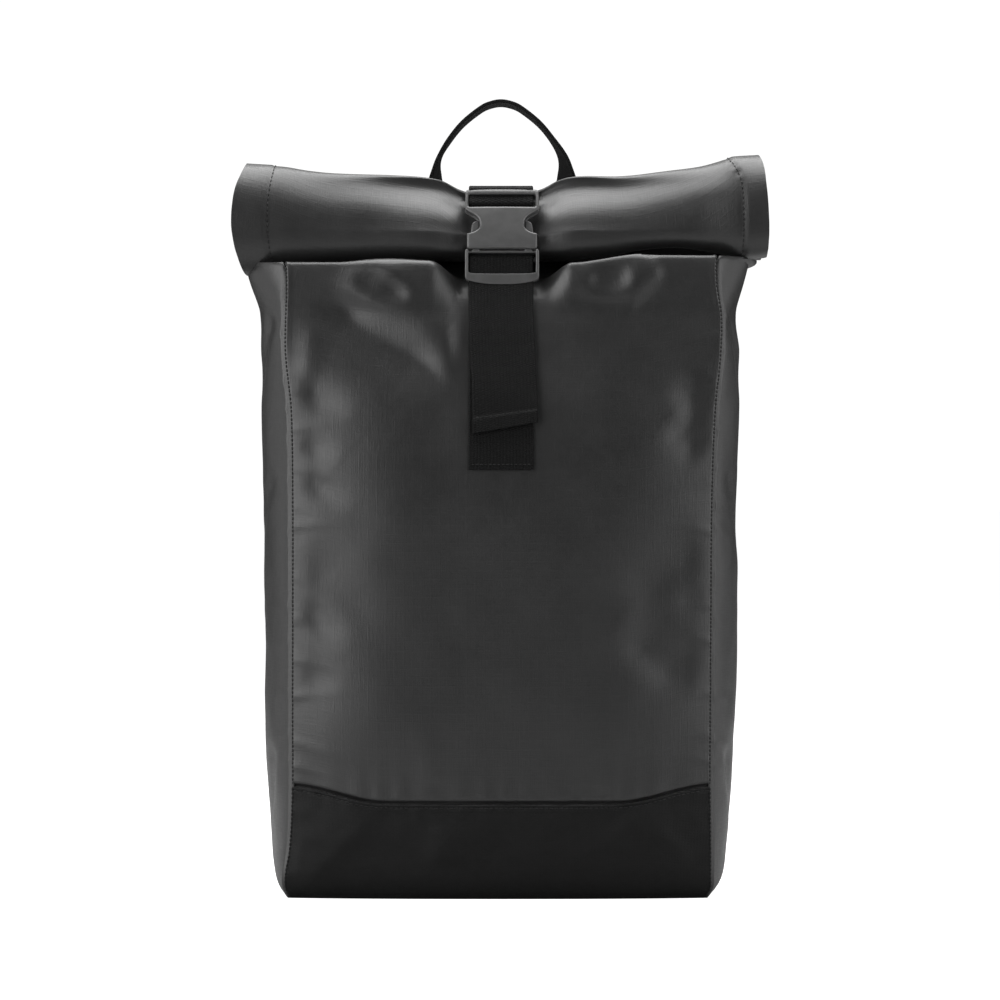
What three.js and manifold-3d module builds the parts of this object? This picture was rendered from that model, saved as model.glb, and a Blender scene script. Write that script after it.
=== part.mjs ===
// Rolltop backpack: a coated-cloth bag whose top is rolled forward over two turns and held down by a
// webbing strap with a side-release buckle. Millimetres, +Z up. The front faces -Y and +X is to the
// right seen from the front. The origin is the middle of the flat underside.
import * as THREE from "three";
import { mergeVertices } from "three/addons/utils/BufferGeometryUtils.js";
import Module from "manifold-3d";

// Cloth
const CLOTH = 1.6; // coated cloth with its backing
const BACK_PAD = 6; // padded middle of the back panel
const BASE_WALL = 2.4;
const SEAM_GAP = 0.3; // between two pieces that are sewn or fastened together

// Body
const PANEL_WIDTH = 245; // between the side seams of the front panel
const GUSSET_BULGE = 20.5; // how far a gusset stands out past its seam
const BODY_WIDTH = PANEL_WIDTH + 2 * GUSSET_BULGE;
const BODY_DEPTH = 116; // front seams to back seams
const TUCK_HEIGHT = 381; // where the front and back layers meet under the roll
const FRONT_BELLY = 12; // how far the middle of the front stands out from its seams
const BACK_BELLY = 4;
const BOOT_HEIGHT = 56; // top edge of the boot at the middle of the front
const BOOT_SIDE_RISE = 9.5; // how much higher it is at the side seams
const BOOT_LAP = 14; // front panel reaching down behind the boot
const FOLD_RELIEF = 5; // height that the folds of the front are shares of
const PLEAT_DEPTH = 16; // gusset drawn in at its middle, just under the roll

// Roll
const ROLL_WIDTH = 322;
const ROLL_DEPTH = 52; // front to back at the ends
const ROLL_RISE = 52; // top of the roll over TUCK_HEIGHT, at the ends
const ROLL_PITCH = 7; // one turn to the next
const ROLL_BAND = 2.4; // both cloth layers, pressed together
const ROLL_END_SLANT = 9.5; // outer turn drawn in where the ends lean
const TUCK_Y = 5; // how far behind the body's middle the layers meet
const ROLL_START = THREE.MathUtils.degToRad(-33); // angle round the roll where the first turn begins
const ROLL_STOP = THREE.MathUtils.degToRad(720);
const ROLL_LAP = THREE.MathUtils.degToRad(-20); // angle where the back panel's top edge lies on it

// Webbing
const STRAP_WIDTH = 38;
const WEBBING = 1.4;
const STRAP_DROP = 131; // the front strap's sewn end under the tuck
const TAIL_DROP = 107; // and its free end
const STRAP_END_HEIGHT = TUCK_HEIGHT - STRAP_DROP;
const TAIL_END_HEIGHT = TUCK_HEIGHT - TAIL_DROP;
const TAIL_SLANT = 6.7; // its right corner over its left corner
const STRAP_LEAVES = 0.9; // share of the body's height up to which it lies on the front
const TAIL_FLARE = 1.5; // its end against its middle, each side
const HANDLE_WIDTH = 25;
const HANDLE_THICKNESS = 2;
const HANDLE_SPAN = 84; // between the middles of the sewn tabs
const HANDLE_RISE = 91; // top of the arch's middle line over the tuck
const HANDLE_HEIGHT = TUCK_HEIGHT + HANDLE_RISE;
const HANDLE_Y = 12;

// Buckle, in its own plane: x across, y up along the strap, middle at the origin
const BUCKLE_WIDTH = 43.5;
const BUCKLE_DEPTH = 9.5;
const BUCKLE_BEVEL = 0.9;
const BUCKLE_X = 0.6;
const BUCKLE_RISE = 6.4; // its middle over the tuck
const BUCKLE_HEIGHT = TUCK_HEIGHT + BUCKLE_RISE;
const BUCKLE_TILT = THREE.MathUtils.degToRad(14); // lower end forward
const BUCKLE_CLEAR = 1.2; // from the roll behind it
const SOCKET_TOP = 29.4;
const SOCKET_BOTTOM = -8.45;
const PRONG_BOTTOM = -29.4;
const PRONG_LENGTH = 18; // of the arms inside the socket
const SLOT_WIDTH = 39.6;
const LIP = 3.4; // bar at the buckle's upper end
const LOWER_LIP = 6.2; // bar at its lower end
const LIP_DEPTH = 4.2; // webbing passes behind the lips
const LOOP_BAR = 2.6; // bar that the webbing turns round
const ARM_DEPTH = 4.4;

// Shoulder straps
const PAD_WIDTH = 62;
const PAD_THICKNESS = 9;
const PAD_BOW = 34; // how far a strap stands off the back at its middle
const PAD_INNER = 48; // middle of a strap's sewn end from the middle of the back
const PAD_OUTER = 74; // and of its lower end
const PAD_TOP = 0.895; // of the body's height
const PAD_BOTTOM = 0.37;
const LOWER_WEBBING_WIDTH = 25;
const LOCK_WIDTH = 33;
const LOCK_LENGTH = 26;
const LOCK_THICKNESS = 4;
const CORNER_INSET = 16.5; // lower end of the webbing, from the back panel's side seam
const CORNER_X = PANEL_WIDTH / 2 - CORNER_INSET;
const CORNER_HEIGHT = 24;
const CORNER_TAB = 14; // length sewn down there
const LOWER_TAIL = 46; // free tail hanging from the adjuster

// Sections of the body from its underside to the tuck. at, frontZ and backZ are shares of
// TUCK_HEIGHT, the seams of half PANEL_WIDTH, the sides of half BODY_WIDTH, frontY and backY of half
// BODY_DEPTH, belly of the front and back bellies, pleat of PLEAT_DEPTH.
const SECTIONS = [
  { at: 0, seamLeft: 1.012, seamRight: 0.98, sideLeft: 0.9, sideRight: 0.868,
    frontY: 0.9, frontZ: 0, backY: 0.88, backZ: 0, belly: 0.5, pleat: 0 },
  { at: 0.016, seamLeft: 1.033, seamRight: 1.004, sideLeft: 0.93, sideRight: 0.909,
    frontY: 0.975, frontZ: 0.016, backY: 0.96, backZ: 0.016, belly: 0.6, pleat: 0 },
  { at: 0.037, seamLeft: 1.033, seamRight: 1.004, sideLeft: 0.944, sideRight: 0.93,
    frontY: 1, frontZ: 0.037, backY: 0.99, backZ: 0.037, belly: 0.7, pleat: 0 },
  { at: 0.079, seamLeft: 1.012, seamRight: 1.004, sideLeft: 0.955, sideRight: 0.941,
    frontY: 1, frontZ: 0.079, backY: 1, backZ: 0.079, belly: 0.8, pleat: 0 },
  { at: 0.163, seamLeft: 1, seamRight: 1.002, sideLeft: 0.972, sideRight: 0.962,
    frontY: 0.985, frontZ: 0.163, backY: 1, backZ: 0.163, belly: 0.9, pleat: 0 },
  { at: 0.294, seamLeft: 1, seamRight: 1.004, sideLeft: 0.982, sideRight: 0.979,
    frontY: 0.966, frontZ: 0.294, backY: 1, backZ: 0.294, belly: 1, pleat: 0 },
  { at: 0.451, seamLeft: 1, seamRight: 1.008, sideLeft: 0.99, sideRight: 0.986,
    frontY: 0.95, frontZ: 0.451, backY: 1, backZ: 0.451, belly: 1, pleat: 0.04 },
  { at: 0.609, seamLeft: 1, seamRight: 1.012, sideLeft: 1, sideRight: 0.992,
    frontY: 0.948, frontZ: 0.609, backY: 1, backZ: 0.609, belly: 1, pleat: 0.12 },
  { at: 0.748, seamLeft: 1.008, seamRight: 1.029, sideLeft: 1.007, sideRight: 0.999,
    frontY: 0.93, frontZ: 0.748, backY: 1, backZ: 0.748, belly: 0.7, pleat: 0.3 },
  { at: 0.835, seamLeft: 1.037, seamRight: 1.057, sideLeft: 1.008, sideRight: 0.999,
    frontY: 0.885, frontZ: 0.835, backY: 0.985, backZ: 0.84, belly: 0.28, pleat: 0.65 },
  { at: 0.898, seamLeft: 1.037, seamRight: 1.061, sideLeft: 1.018, sideRight: 0.986,
    frontY: 0.82, frontZ: 0.898, backY: 0.9, backZ: 0.913, belly: 0.04, pleat: 1 },
  { at: 0.929, seamLeft: 1.033, seamRight: 1.037, sideLeft: 1.07, sideRight: 1.035,
    frontY: 0.71, frontZ: 0.929, backY: 0.69, backZ: 0.961, belly: 0, pleat: 0.7 },
  { at: 0.96, seamLeft: 1.045, seamRight: 1.045, sideLeft: 1.108, sideRight: 1.075,
    frontY: 0.46, frontZ: 0.949, backY: 0.414, backZ: 0.992, belly: 0, pleat: 0.25 },
  { at: 0.98, seamLeft: 1.06, seamRight: 1.06, sideLeft: 1.115, sideRight: 1.083,
    frontY: 0.22, frontZ: 0.957, backY: 0.28, backZ: 0.998, belly: 0, pleat: 0.1 },
  { at: 1, seamLeft: 1.077, seamRight: 1.077, sideLeft: 1.12, sideRight: 1.09,
    frontY: -0.043, frontZ: 0.994, backY: 0.15, backZ: 1.018, belly: 0, pleat: 0 },
];
const GUSSET_TOP = 0.98; // the ears of the gussets stop just short of the tuck

// Profile of the roll from its left end to its right end. at is a share of half ROLL_WIDTH, rise of
// ROLL_RISE.
const ROLL_PROFILE = [
  { at: -1, rise: 0.99 }, { at: -0.83, rise: 0.962 }, { at: -0.72, rise: 0.912 },
  { at: -0.61, rise: 0.877 }, { at: -0.4, rise: 0.86 }, { at: -0.26, rise: 0.831 },
  { at: -0.15, rise: 0.74 }, { at: -0.07, rise: 0.715 }, { at: 0.07, rise: 0.72 },
  { at: 0.15, rise: 0.75 }, { at: 0.27, rise: 0.85 }, { at: 0.44, rise: 0.854 },
  { at: 0.59, rise: 0.9 }, { at: 0.74, rise: 0.958 }, { at: 0.88, rise: 1.05 },
  { at: 1, rise: 1.075 },
];

// Folds and puffs of the front panel. acrossAt is a share of half PANEL_WIDTH, upAt, length and
// width of TUCK_HEIGHT, turn the angle of the long axis in degrees from level, height of FOLD_RELIEF.
const FRONT_FOLDS = [
  { acrossAt: -0.52, upAt: 0.868, length: 0.105, width: 0.04, turn: -32, height: 1 },
  { acrossAt: -0.66, upAt: 0.842, length: 0.13, width: 0.018, turn: -33, height: -0.9 },
  { acrossAt: -0.88, upAt: 0.62, length: 0.14, width: 0.035, turn: 80, height: 0.5 },
  { acrossAt: 0.6, upAt: 0.915, length: 0.08, width: 0.03, turn: 12, height: 0.7 },
  { acrossAt: 0.8, upAt: 0.74, length: 0.11, width: 0.035, turn: -70, height: 0.55 },
  { acrossAt: 0.72, upAt: 0.36, length: 0.14, width: 0.04, turn: 55, height: 0.45 },
];

// A smooth curve through one column of a table whose rows are in the order of their key column.
function column(table, name, where) {
  let i = 0;
  while (i < table.length - 2 && where > table[i + 1].at) i++;
  const slope = (k) => {
    const a = table[Math.max(k - 1, 0)];
    const b = table[Math.min(k + 1, table.length - 1)];
    return (b[name] - a[name]) / (b.at - a.at);
  };
  const p = table[i];
  const q = table[i + 1];
  const span = q.at - p.at;
  const s = THREE.MathUtils.clamp((where - p.at) / span, 0, 1);
  const s2 = s * s;
  const s3 = s2 * s;
  return (
    (2 * s3 - 3 * s2 + 1) * p[name] + (s3 - 2 * s2 + s) * span * slope(i) +
    (3 * s2 - 2 * s3) * q[name] + (s3 - s2) * span * slope(i + 1)
  );
}

const section = (name, t) => column(SECTIONS, name, t);
const smooth = (from, to, s) => THREE.MathUtils.smoothstep(s, from, to);

// Half width between the seams on the side that sign gives.
function seamX(sign, t) {
  return (PANEL_WIDTH / 2) * section(sign < 0 ? "seamLeft" : "seamRight", t);
}

// The roll's outer surface at x and at an angle round it, counted from the back over the top.
function rollRadii(x) {
  const rise = column(ROLL_PROFILE, "rise", x / (ROLL_WIDTH / 2));
  const up = (ROLL_RISE * rise) / (1 - Math.sin(ROLL_START));
  const deep = (ROLL_DEPTH / 2) * Math.pow(rise, 0.8);
  return { up, deep };
}

function rollPoint(x, angle) {
  const { up, deep } = rollRadii(x);
  const shrink = ROLL_PITCH * Math.max(0, (angle - Math.PI / 2) / (2 * Math.PI));
  const y = TUCK_Y - deep * Math.cos(ROLL_START) + (deep - shrink) * Math.cos(angle);
  const z = TUCK_HEIGHT - up * Math.sin(ROLL_START) + (up - shrink) * Math.sin(angle);
  return new THREE.Vector3(x, y, z);
}

function rollNormal(x, angle) {
  const { up, deep } = rollRadii(x);
  return new THREE.Vector3(0, Math.cos(angle) / deep, Math.sin(angle) / up).normalize();
}

// Height of the front's folds at a place on the panel, none at its seams or under the strap.
function foldHeight(u, t) {
  const x = (u * PANEL_WIDTH) / 2;
  const z = t * TUCK_HEIGHT;
  let height = 0;
  for (const f of FRONT_FOLDS) {
    const turn = THREE.MathUtils.degToRad(f.turn);
    const dx = x - (f.acrossAt * PANEL_WIDTH) / 2;
    const dz = z - f.upAt * TUCK_HEIGHT;
    const along = (dx * Math.cos(turn) + dz * Math.sin(turn)) / (f.length * TUCK_HEIGHT);
    const over = (dz * Math.cos(turn) - dx * Math.sin(turn)) / (f.width * TUCK_HEIGHT);
    height += f.height * FOLD_RELIEF * Math.exp(-along * along - over * over);
  }
  const free = smooth(STRAP_WIDTH / 2 + 1, STRAP_WIDTH, Math.abs(x));
  return height * free * (1 - Math.pow(Math.abs(u), 8));
}

// Outer surface of the front: u runs from the left seam (-1) to the right seam (1), t up the body.
function frontSurface(u, t) {
  const y = (BODY_DEPTH / 2) * section("frontY", t);
  const belly = FRONT_BELLY * section("belly", t) * (1 - Math.pow(Math.abs(u), 2.6));
  return new THREE.Vector3(
    u * seamX(Math.sign(u), t),
    -y - belly - foldHeight(u, t),
    TUCK_HEIGHT * section("frontZ", t),
  );
}

// Outer surface of the back, whose top edge lies on the roll's first turn.
function backSurface(u, t) {
  const x = u * seamX(Math.sign(u), t);
  const belly = BACK_BELLY * section("belly", t) * (1 - Math.pow(Math.abs(u), 3));
  const point = new THREE.Vector3(
    x,
    (BODY_DEPTH / 2) * section("backY", t) + belly,
    TUCK_HEIGHT * section("backZ", t),
  );
  const lap = rollPoint(x, ROLL_LAP);
  lap.addScaledVector(rollNormal(x, ROLL_LAP), SEAM_GAP + CLOTH);
  return point.lerp(lap, smooth(0.95, 1, t));
}

// Outer surface of a gusset: v runs from the front seam (0) to the back seam (1).
function gussetSurface(sign, v, t) {
  const front = frontSurface(sign, t);
  const back = backSurface(sign, t);
  const seam = seamX(sign, t);
  const side = (BODY_WIDTH / 2) * section(sign < 0 ? "sideLeft" : "sideRight", t);
  const bulge = (side - seam) * Math.pow(Math.sin(Math.PI * v), 0.75);
  const pleat = PLEAT_DEPTH * section("pleat", t) * Math.exp(-Math.pow((v - 0.5) / 0.11, 2));
  const point = front.lerp(back, v);
  point.x = sign * (seam + SEAM_GAP + bulge - pleat);
  return point;
}

// Outward normal of a surface over (a, b), flattened where it meets a seam or the floor.
function normalOf(surface, a, b, limits, flatX, flatZ) {
  const step = 1e-3;
  const [a0, a1, b0, b1] = limits;
  const right = surface(Math.min(a + step, a1), b);
  const left = surface(Math.max(a - step, a0), b);
  const above = surface(a, Math.min(b + step, b1));
  const below = surface(a, Math.max(b - step, b0));
  const normal = right.sub(left).cross(above.sub(below));
  if (flatX) normal.x = 0;
  if (flatZ) normal.z = 0;
  return normal.normalize();
}

// A closed body from triangles given as corners, turned so that its faces point out.
function bodyOf(corners) {
  let volume = 0;
  for (let i = 0; i < corners.length; i += 3) {
    volume += corners[i].dot(corners[i + 1].clone().cross(corners[i + 2]));
  }
  const positions = [];
  for (let i = 0; i < corners.length; i += 3) {
    const [p, q, r] = corners.slice(i, i + 3);
    const ordered = volume < 0 ? [p, r, q] : [p, q, r];
    ordered.forEach((c) => positions.push(c.x, c.y, c.z));
  }
  const geometry = new THREE.BufferGeometry();
  geometry.setAttribute("position", new THREE.Float32BufferAttribute(positions, 3));
  geometry.computeVertexNormals();
  return geometry;
}

// A cloth wall between an outer and an inner grid of points, closed round its four edges.
function wallGeometry(outer, inner) {
  const corners = [];
  const quad = (p, q, r, s) => corners.push(p, q, r, p, r, s);
  const rows = outer.length - 1;
  const columns = outer[0].length - 1;
  for (let j = 0; j < rows; j++) {
    for (let i = 0; i < columns; i++) {
      quad(outer[j][i], outer[j][i + 1], outer[j + 1][i + 1], outer[j + 1][i]);
      quad(inner[j][i], inner[j + 1][i], inner[j + 1][i + 1], inner[j][i + 1]);
    }
  }
  for (let i = 0; i < columns; i++) {
    quad(inner[0][i], inner[0][i + 1], outer[0][i + 1], outer[0][i]);
    quad(outer[rows][i], outer[rows][i + 1], inner[rows][i + 1], inner[rows][i]);
  }
  for (let j = 0; j < rows; j++) {
    quad(outer[j][0], outer[j + 1][0], inner[j + 1][0], inner[j][0]);
    quad(inner[j][columns], inner[j + 1][columns], outer[j + 1][columns], outer[j][columns]);
  }
  return bodyOf(corners);
}

// Outer and inner grids of a panel. place gives the surface coordinates of a column and a row, wall
// the thickness there, sunk how far the whole wall lies behind the surface.
function panelGrids({ surface, across, rows, place, wall, sunk, limits, outward }) {
  const outer = [];
  const inner = [];
  rows.forEach((row, j) => {
    const outerRow = [];
    const innerRow = [];
    across.forEach((a, i) => {
      const b = place(a, row);
      const atSeam = i === 0 || i === across.length - 1;
      const normal = normalOf(surface, a, b, limits, atSeam, j === 0 && b === 0);
      normal.multiplyScalar(outward);
      const point = surface(a, b);
      const depth = sunk ? sunk(a, b) : 0;
      outerRow.push(point.clone().addScaledVector(normal, -depth));
      innerRow.push(point.clone().addScaledVector(normal, -depth - wall(a, b)));
    });
    outer.push(outerRow);
    inner.push(innerRow);
  });
  return { outer, inner };
}

const evenly = (from, to, count) =>
  Array.from({ length: count + 1 }, (_, i) => from + ((to - from) * i) / count);

const PANEL_LIMITS = [-1, 1, 0, 1];
const panelColumns = evenly(-1, 1, 20).map((u) => Math.sin((u * Math.PI) / 2) * 0.35 + u * 0.65);
const bootRows = [0, 0.016, 0.037, 0.079, 0.12];
const upperRows = [0.2, 0.27, 0.34, 0.41, 0.48, 0.55, 0.609, 0.68, 0.73, 0.78, 0.82, 0.86, 0.89, 0.918,
  0.94, 0.96, GUSSET_TOP];
const bodyRows = [...bootRows, 0.17, ...upperRows];

// Height of the boot's top edge as a share of the body's.
const bootTop = (u) =>
  (BOOT_HEIGHT + BOOT_SIDE_RISE * smooth(0.55, 1, Math.abs(u))) / TUCK_HEIGHT;

// The rows below the boot's edge are heights over it, the others shares of the body's height.
const lapRows = [-BOOT_LAP, CLOTH, 3 * CLOTH];

const frontPanel = panelGrids({
  surface: frontSurface,
  across: panelColumns,
  rows: [...lapRows, ...upperRows, 1],
  place: (u, row) => (lapRows.includes(row) ? bootTop(u) + row / TUCK_HEIGHT : row),
  wall: () => CLOTH,
  sunk: (u, t) => {
    const above = (t - bootTop(u)) * TUCK_HEIGHT;
    return (CLOTH + SEAM_GAP) * (1 - smooth(CLOTH, 3 * CLOTH, above));
  },
  limits: PANEL_LIMITS,
  outward: 1,
});

const bootPanel = panelGrids({
  surface: frontSurface,
  across: panelColumns,
  rows: [...bootRows, "top"],
  place: (u, row) => (row === "top" ? bootTop(u) : row),
  wall: () => CLOTH,
  limits: PANEL_LIMITS,
  outward: 1,
});

const backPanel = panelGrids({
  surface: backSurface,
  across: panelColumns.filter((_, i) => i % 2 === 0),
  rows: [...bodyRows, 1],
  place: (u, row) => row,
  wall: (u, t) => {
    const middle = 1 - smooth(0.75, 0.95, Math.abs(u));
    const height = smooth(0.02, 0.1, t) * (1 - smooth(0.75, 0.9, t));
    return CLOTH + (BACK_PAD - CLOTH) * middle * height;
  },
  limits: PANEL_LIMITS,
  outward: -1,
});

function gussetPanel(sign) {
  return panelGrids({
    surface: (v, t) => gussetSurface(sign, v, t),
    across: [0, 0.07, 0.16, 0.28, 0.39, 0.5, 0.61, 0.72, 0.84, 0.93, 1],
    rows: bodyRows,
    place: (v, row) => row,
    wall: () => CLOTH,
    limits: [0, 1, 0, GUSSET_TOP],
    outward: sign,
  });
}

const gussets = { left: gussetPanel(-1), right: gussetPanel(1) };

// The base fills the ring that the four walls leave at the floor.
function baseGeometry() {
  const ring = [
    ...bootPanel.inner[0],
    ...gussets.right.inner[0],
    ...backPanel.inner[0].slice().reverse(),
    ...gussets.left.inner[0].slice().reverse(),
  ].map((p) => new THREE.Vector2(p.x, p.y));
  const loop = ring.filter((p, i) => p.distanceTo(ring[(i + 1) % ring.length]) > 2 * SEAM_GAP);
  const inset = loop.map((p, i) => {
    const before = loop[(i + loop.length - 1) % loop.length];
    const after = loop[(i + 1) % loop.length];
    const along = after.clone().sub(before).normalize();
    return new THREE.Vector2(p.x - along.y * 2 * SEAM_GAP, p.y + along.x * 2 * SEAM_GAP);
  });
  return new THREE.ExtrudeGeometry(new THREE.Shape(inset), {
    depth: BASE_WALL,
    bevelEnabled: false,
  });
}

const ROLL_STEPS = 42;
const rollAngles = evenly(ROLL_START, ROLL_STOP, ROLL_STEPS);

// The rolled top: one band of both layers, wound from the tuck over the top and inwards. The ends
// of the outer turns lean, and each turn further in stands a little deeper.
function rollGeometry() {
  const across = [-1, -0.92, -0.83, -0.72, -0.6, -0.44, -0.3, -0.2, -0.13, -0.06, 0.06, 0.13, 0.2, 0.3,
    0.44, 0.6, 0.72, 0.83, 0.92, 1];
  const outer = [];
  const inner = [];
  for (const angle of rollAngles) {
    const turns = Math.max(0, (angle - Math.PI / 2) / (2 * Math.PI));
    const top = Math.max(0, Math.sin(angle));
    const leanLeft = ROLL_END_SLANT * Math.sin(angle) ** 2;
    const leanRight = 0.75 * ROLL_END_SLANT * top ** 2;
    const outerRow = [];
    const innerRow = [];
    for (const a of across) {
      const lean = a < 0 ? leanLeft : leanRight;
      const half = ROLL_WIDTH / 2 - (lean + ROLL_BAND * turns) * Math.abs(a) ** 4;
      const point = rollPoint((a * ROLL_WIDTH) / 2, angle);
      const depth = rollNormal(point.x, angle).multiplyScalar(-ROLL_BAND);
      point.x = a * half;
      outerRow.push(point);
      innerRow.push(point.clone().add(depth));
    }
    outer.push(outerRow);
    inner.push(innerRow);
  }
  return wallGeometry(outer, inner);
}

// A body swept through stations: at is the middle, across and out the half width and half
// thickness there, section the corners of the cross-section as shares of those two.
function sweepGeometry(stations, section) {
  const rings = stations.map(({ at, across, out }) =>
    section.map(([a, b]) => at.clone().addScaledVector(across, a).addScaledVector(out, b)),
  );
  const corners = [];
  for (let k = 0; k + 1 < rings.length; k++) {
    for (let i = 0; i < section.length; i++) {
      const j = (i + 1) % section.length;
      corners.push(rings[k][i], rings[k][j], rings[k + 1][j]);
      corners.push(rings[k][i], rings[k + 1][j], rings[k + 1][i]);
    }
  }
  const last = rings[rings.length - 1];
  for (let i = 1; i + 1 < section.length; i++) {
    corners.push(rings[0][0], rings[0][i + 1], rings[0][i]);
    corners.push(last[0], last[i], last[i + 1]);
  }
  return bodyOf(corners);
}

const FLAT_SECTION = [[-1, -1], [0, -1], [1, -1], [1, 1], [0, 1], [-1, 1]];
const PADDED_SECTION = [[-1, 0], [-0.93, -0.62], [-0.72, -1], [0.72, -1], [0.93, -0.62], [1, 0],
  [0.93, 0.62], [0.72, 1], [-0.72, 1], [-0.93, 0.62]];

// Stations of webbing laid along a path in the plane of the bag's middle.
function webbingStations(path, width) {
  return path.map((p, k) => {
    const before = path[Math.max(k - 1, 0)];
    const after = path[Math.min(k + 1, path.length - 1)];
    const along = after.clone().sub(before).normalize();
    return {
      at: p,
      across: new THREE.Vector3(width / 2, 0, 0),
      out: new THREE.Vector3(0, -along.z, along.y).multiplyScalar(WEBBING / 2),
    };
  });
}

// The buckle's middle, set against the front of the roll where the strap pinches it.
const rollFront = rollPoint(BUCKLE_X + BUCKLE_WIDTH / 2, Math.PI).y;
const BUCKLE_Y = rollFront - BUCKLE_CLEAR - BUCKLE_DEPTH / 2 / Math.cos(BUCKLE_TILT) -
  Math.tan(BUCKLE_TILT) * (rollPoint(0, Math.PI).z - BUCKLE_HEIGHT);

// A place in the buckle's plane, in the bag's frame: depth is counted backwards.
function inBuckle(depth, up) {
  return new THREE.Vector3(
    0,
    BUCKLE_Y + depth * Math.cos(BUCKLE_TILT) + up * Math.sin(BUCKLE_TILT),
    BUCKLE_HEIGHT + up * Math.cos(BUCKLE_TILT) - depth * Math.sin(BUCKLE_TILT),
  );
}

// A place over the middle of the front or back panel, lifted off it.
function overFront(t, lift) {
  const normal = normalOf(frontSurface, 0, t, PANEL_LIMITS, true, false);
  return frontSurface(0, t).addScaledVector(normal, lift);
}
function overBack(u, t, lift) {
  const normal = normalOf(backSurface, u, t, PANEL_LIMITS, true, false);
  return backSurface(u, t).addScaledVector(normal, -lift);
}

const backRows = upperRows.filter((t) => t > 0.91).reverse(); // where webbing is sewn to the back
const LAYER = WEBBING + SEAM_GAP; // one layer of webbing over another
const LIP_BACK = -BUCKLE_DEPTH / 2 + LIP_DEPTH; // rear face of the buckle's lips
const nearLayer = LIP_BACK + SEAM_GAP + WEBBING / 2; // webbing just behind a lip
const farLayer = nearLayer + LAYER;
const loopRadius = LOOP_BAR / 2 + SEAM_GAP + WEBBING / 2;
const LOWER_BAR = SOCKET_BOTTOM - SEAM_GAP - 1.5 - SEAM_GAP - WEBBING / 2 - loopRadius;
const UPPER_BAR = SOCKET_TOP - LIP - 5;
const SLEEVE_TOP = UPPER_BAR - loopRadius - WEBBING / 2 - SEAM_GAP;
const BAR_DEPTH = nearLayer + LAYER / 2;

// Half a turn round a bar across the buckle, from one angle to the other.
function roundBar(up, fromDegrees, toDegrees) {
  return evenly(fromDegrees, toDegrees, 6).map((degrees) => {
    const a = THREE.MathUtils.degToRad(degrees);
    return inBuckle(BAR_DEPTH + loopRadius * Math.cos(a), up + loopRadius * Math.sin(a));
  });
}

// Front strap: sewn end, up behind the lower lip, round the bar and down again as the free tail.
function frontStrapGeometry() {
  const sewn = STRAP_END_HEIGHT / TUCK_HEIGHT;
  const free = TAIL_END_HEIGHT / TUCK_HEIGHT;
  const rest = SEAM_GAP + WEBBING / 2;
  const below = PRONG_BOTTOM - 1;
  const between = (foot) => [foot, ...upperRows.filter((t) => t > foot + 0.01 && t < STRAP_LEAVES)];
  const path = [
    ...between(sewn).map((t) => overFront(t, rest)),
    inBuckle(farLayer, below),
    inBuckle(farLayer, below + LOWER_LIP + 1),
    ...roundBar(LOWER_BAR, 0, 180),
    inBuckle(nearLayer, below + LOWER_LIP + 1),
    inBuckle(nearLayer, below),
    ...between(free).reverse().map((t) => overFront(t, rest + LAYER)),
  ];
  const stations = webbingStations(path, STRAP_WIDTH);
  const end = stations[stations.length - 1];
  end.across.set(STRAP_WIDTH / 2 + TAIL_FLARE, 0, TAIL_SLANT / 2);
  return sweepGeometry(stations, FLAT_SECTION);
}

// Roll strap: from its sewn-back end down round the socket's bar, up over the roll and down the back.
function rollStrapGeometry() {
  const edge = STRAP_WIDTH / 2;
  const overRoll = (angle, lift) =>
    rollPoint(edge, angle).addScaledVector(rollNormal(edge, angle), lift).setX(0);
  const laid = rollAngles.filter((a) => a > 0.2 && a < 2);
  const rest = SEAM_GAP + WEBBING / 2;
  const above = SOCKET_TOP + 1;
  const path = [
    ...laid.slice(-2).map((angle) => overRoll(angle, rest)),
    inBuckle(farLayer, above),
    inBuckle(farLayer, above - LIP - 1),
    ...roundBar(UPPER_BAR, 0, -180),
    inBuckle(nearLayer, above - LIP - 1),
    inBuckle(nearLayer, above),
    ...laid.slice().reverse().map((angle) => overRoll(angle, rest + LAYER)),
    ...backRows.map((t) => overBack(0, t, rest)),
  ];
  return sweepGeometry(webbingStations(path, STRAP_WIDTH), FLAT_SECTION);
}

// Turns a tangent and a wanted width direction into a station's two half-size vectors.
function stationAt(at, along, wanted, width, thickness) {
  const across = wanted.clone().addScaledVector(along, -wanted.dot(along)).normalize();
  const out = along.clone().cross(across).normalize();
  return {
    at,
    across: across.multiplyScalar(width / 2),
    out: out.multiplyScalar(thickness / 2),
  };
}

// Half of the grab handle's arch from its tab upwards. x is a share of half HANDLE_SPAN, rise of the
// height from the tuck to the top, back of HANDLE_Y, twist the turn from flat on the back to
// edge-on in degrees.
const HANDLE_ARCH = [
  { x: 1, rise: 0.14, back: 1.85, twist: 10 },
  { x: 0.98, rise: 0.26, back: 1.45, twist: 32 },
  { x: 0.95, rise: 0.4, back: 1.15, twist: 58 },
  { x: 0.92, rise: 0.54, back: 1, twist: 72 },
  { x: 0.85, rise: 0.65, back: 1, twist: 84 },
  { x: 0.74, rise: 0.755, back: 1, twist: 90 },
  { x: 0.55, rise: 0.865, back: 1, twist: 90 },
  { x: 0.31, rise: 0.963, back: 1, twist: 90 },
];

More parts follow.
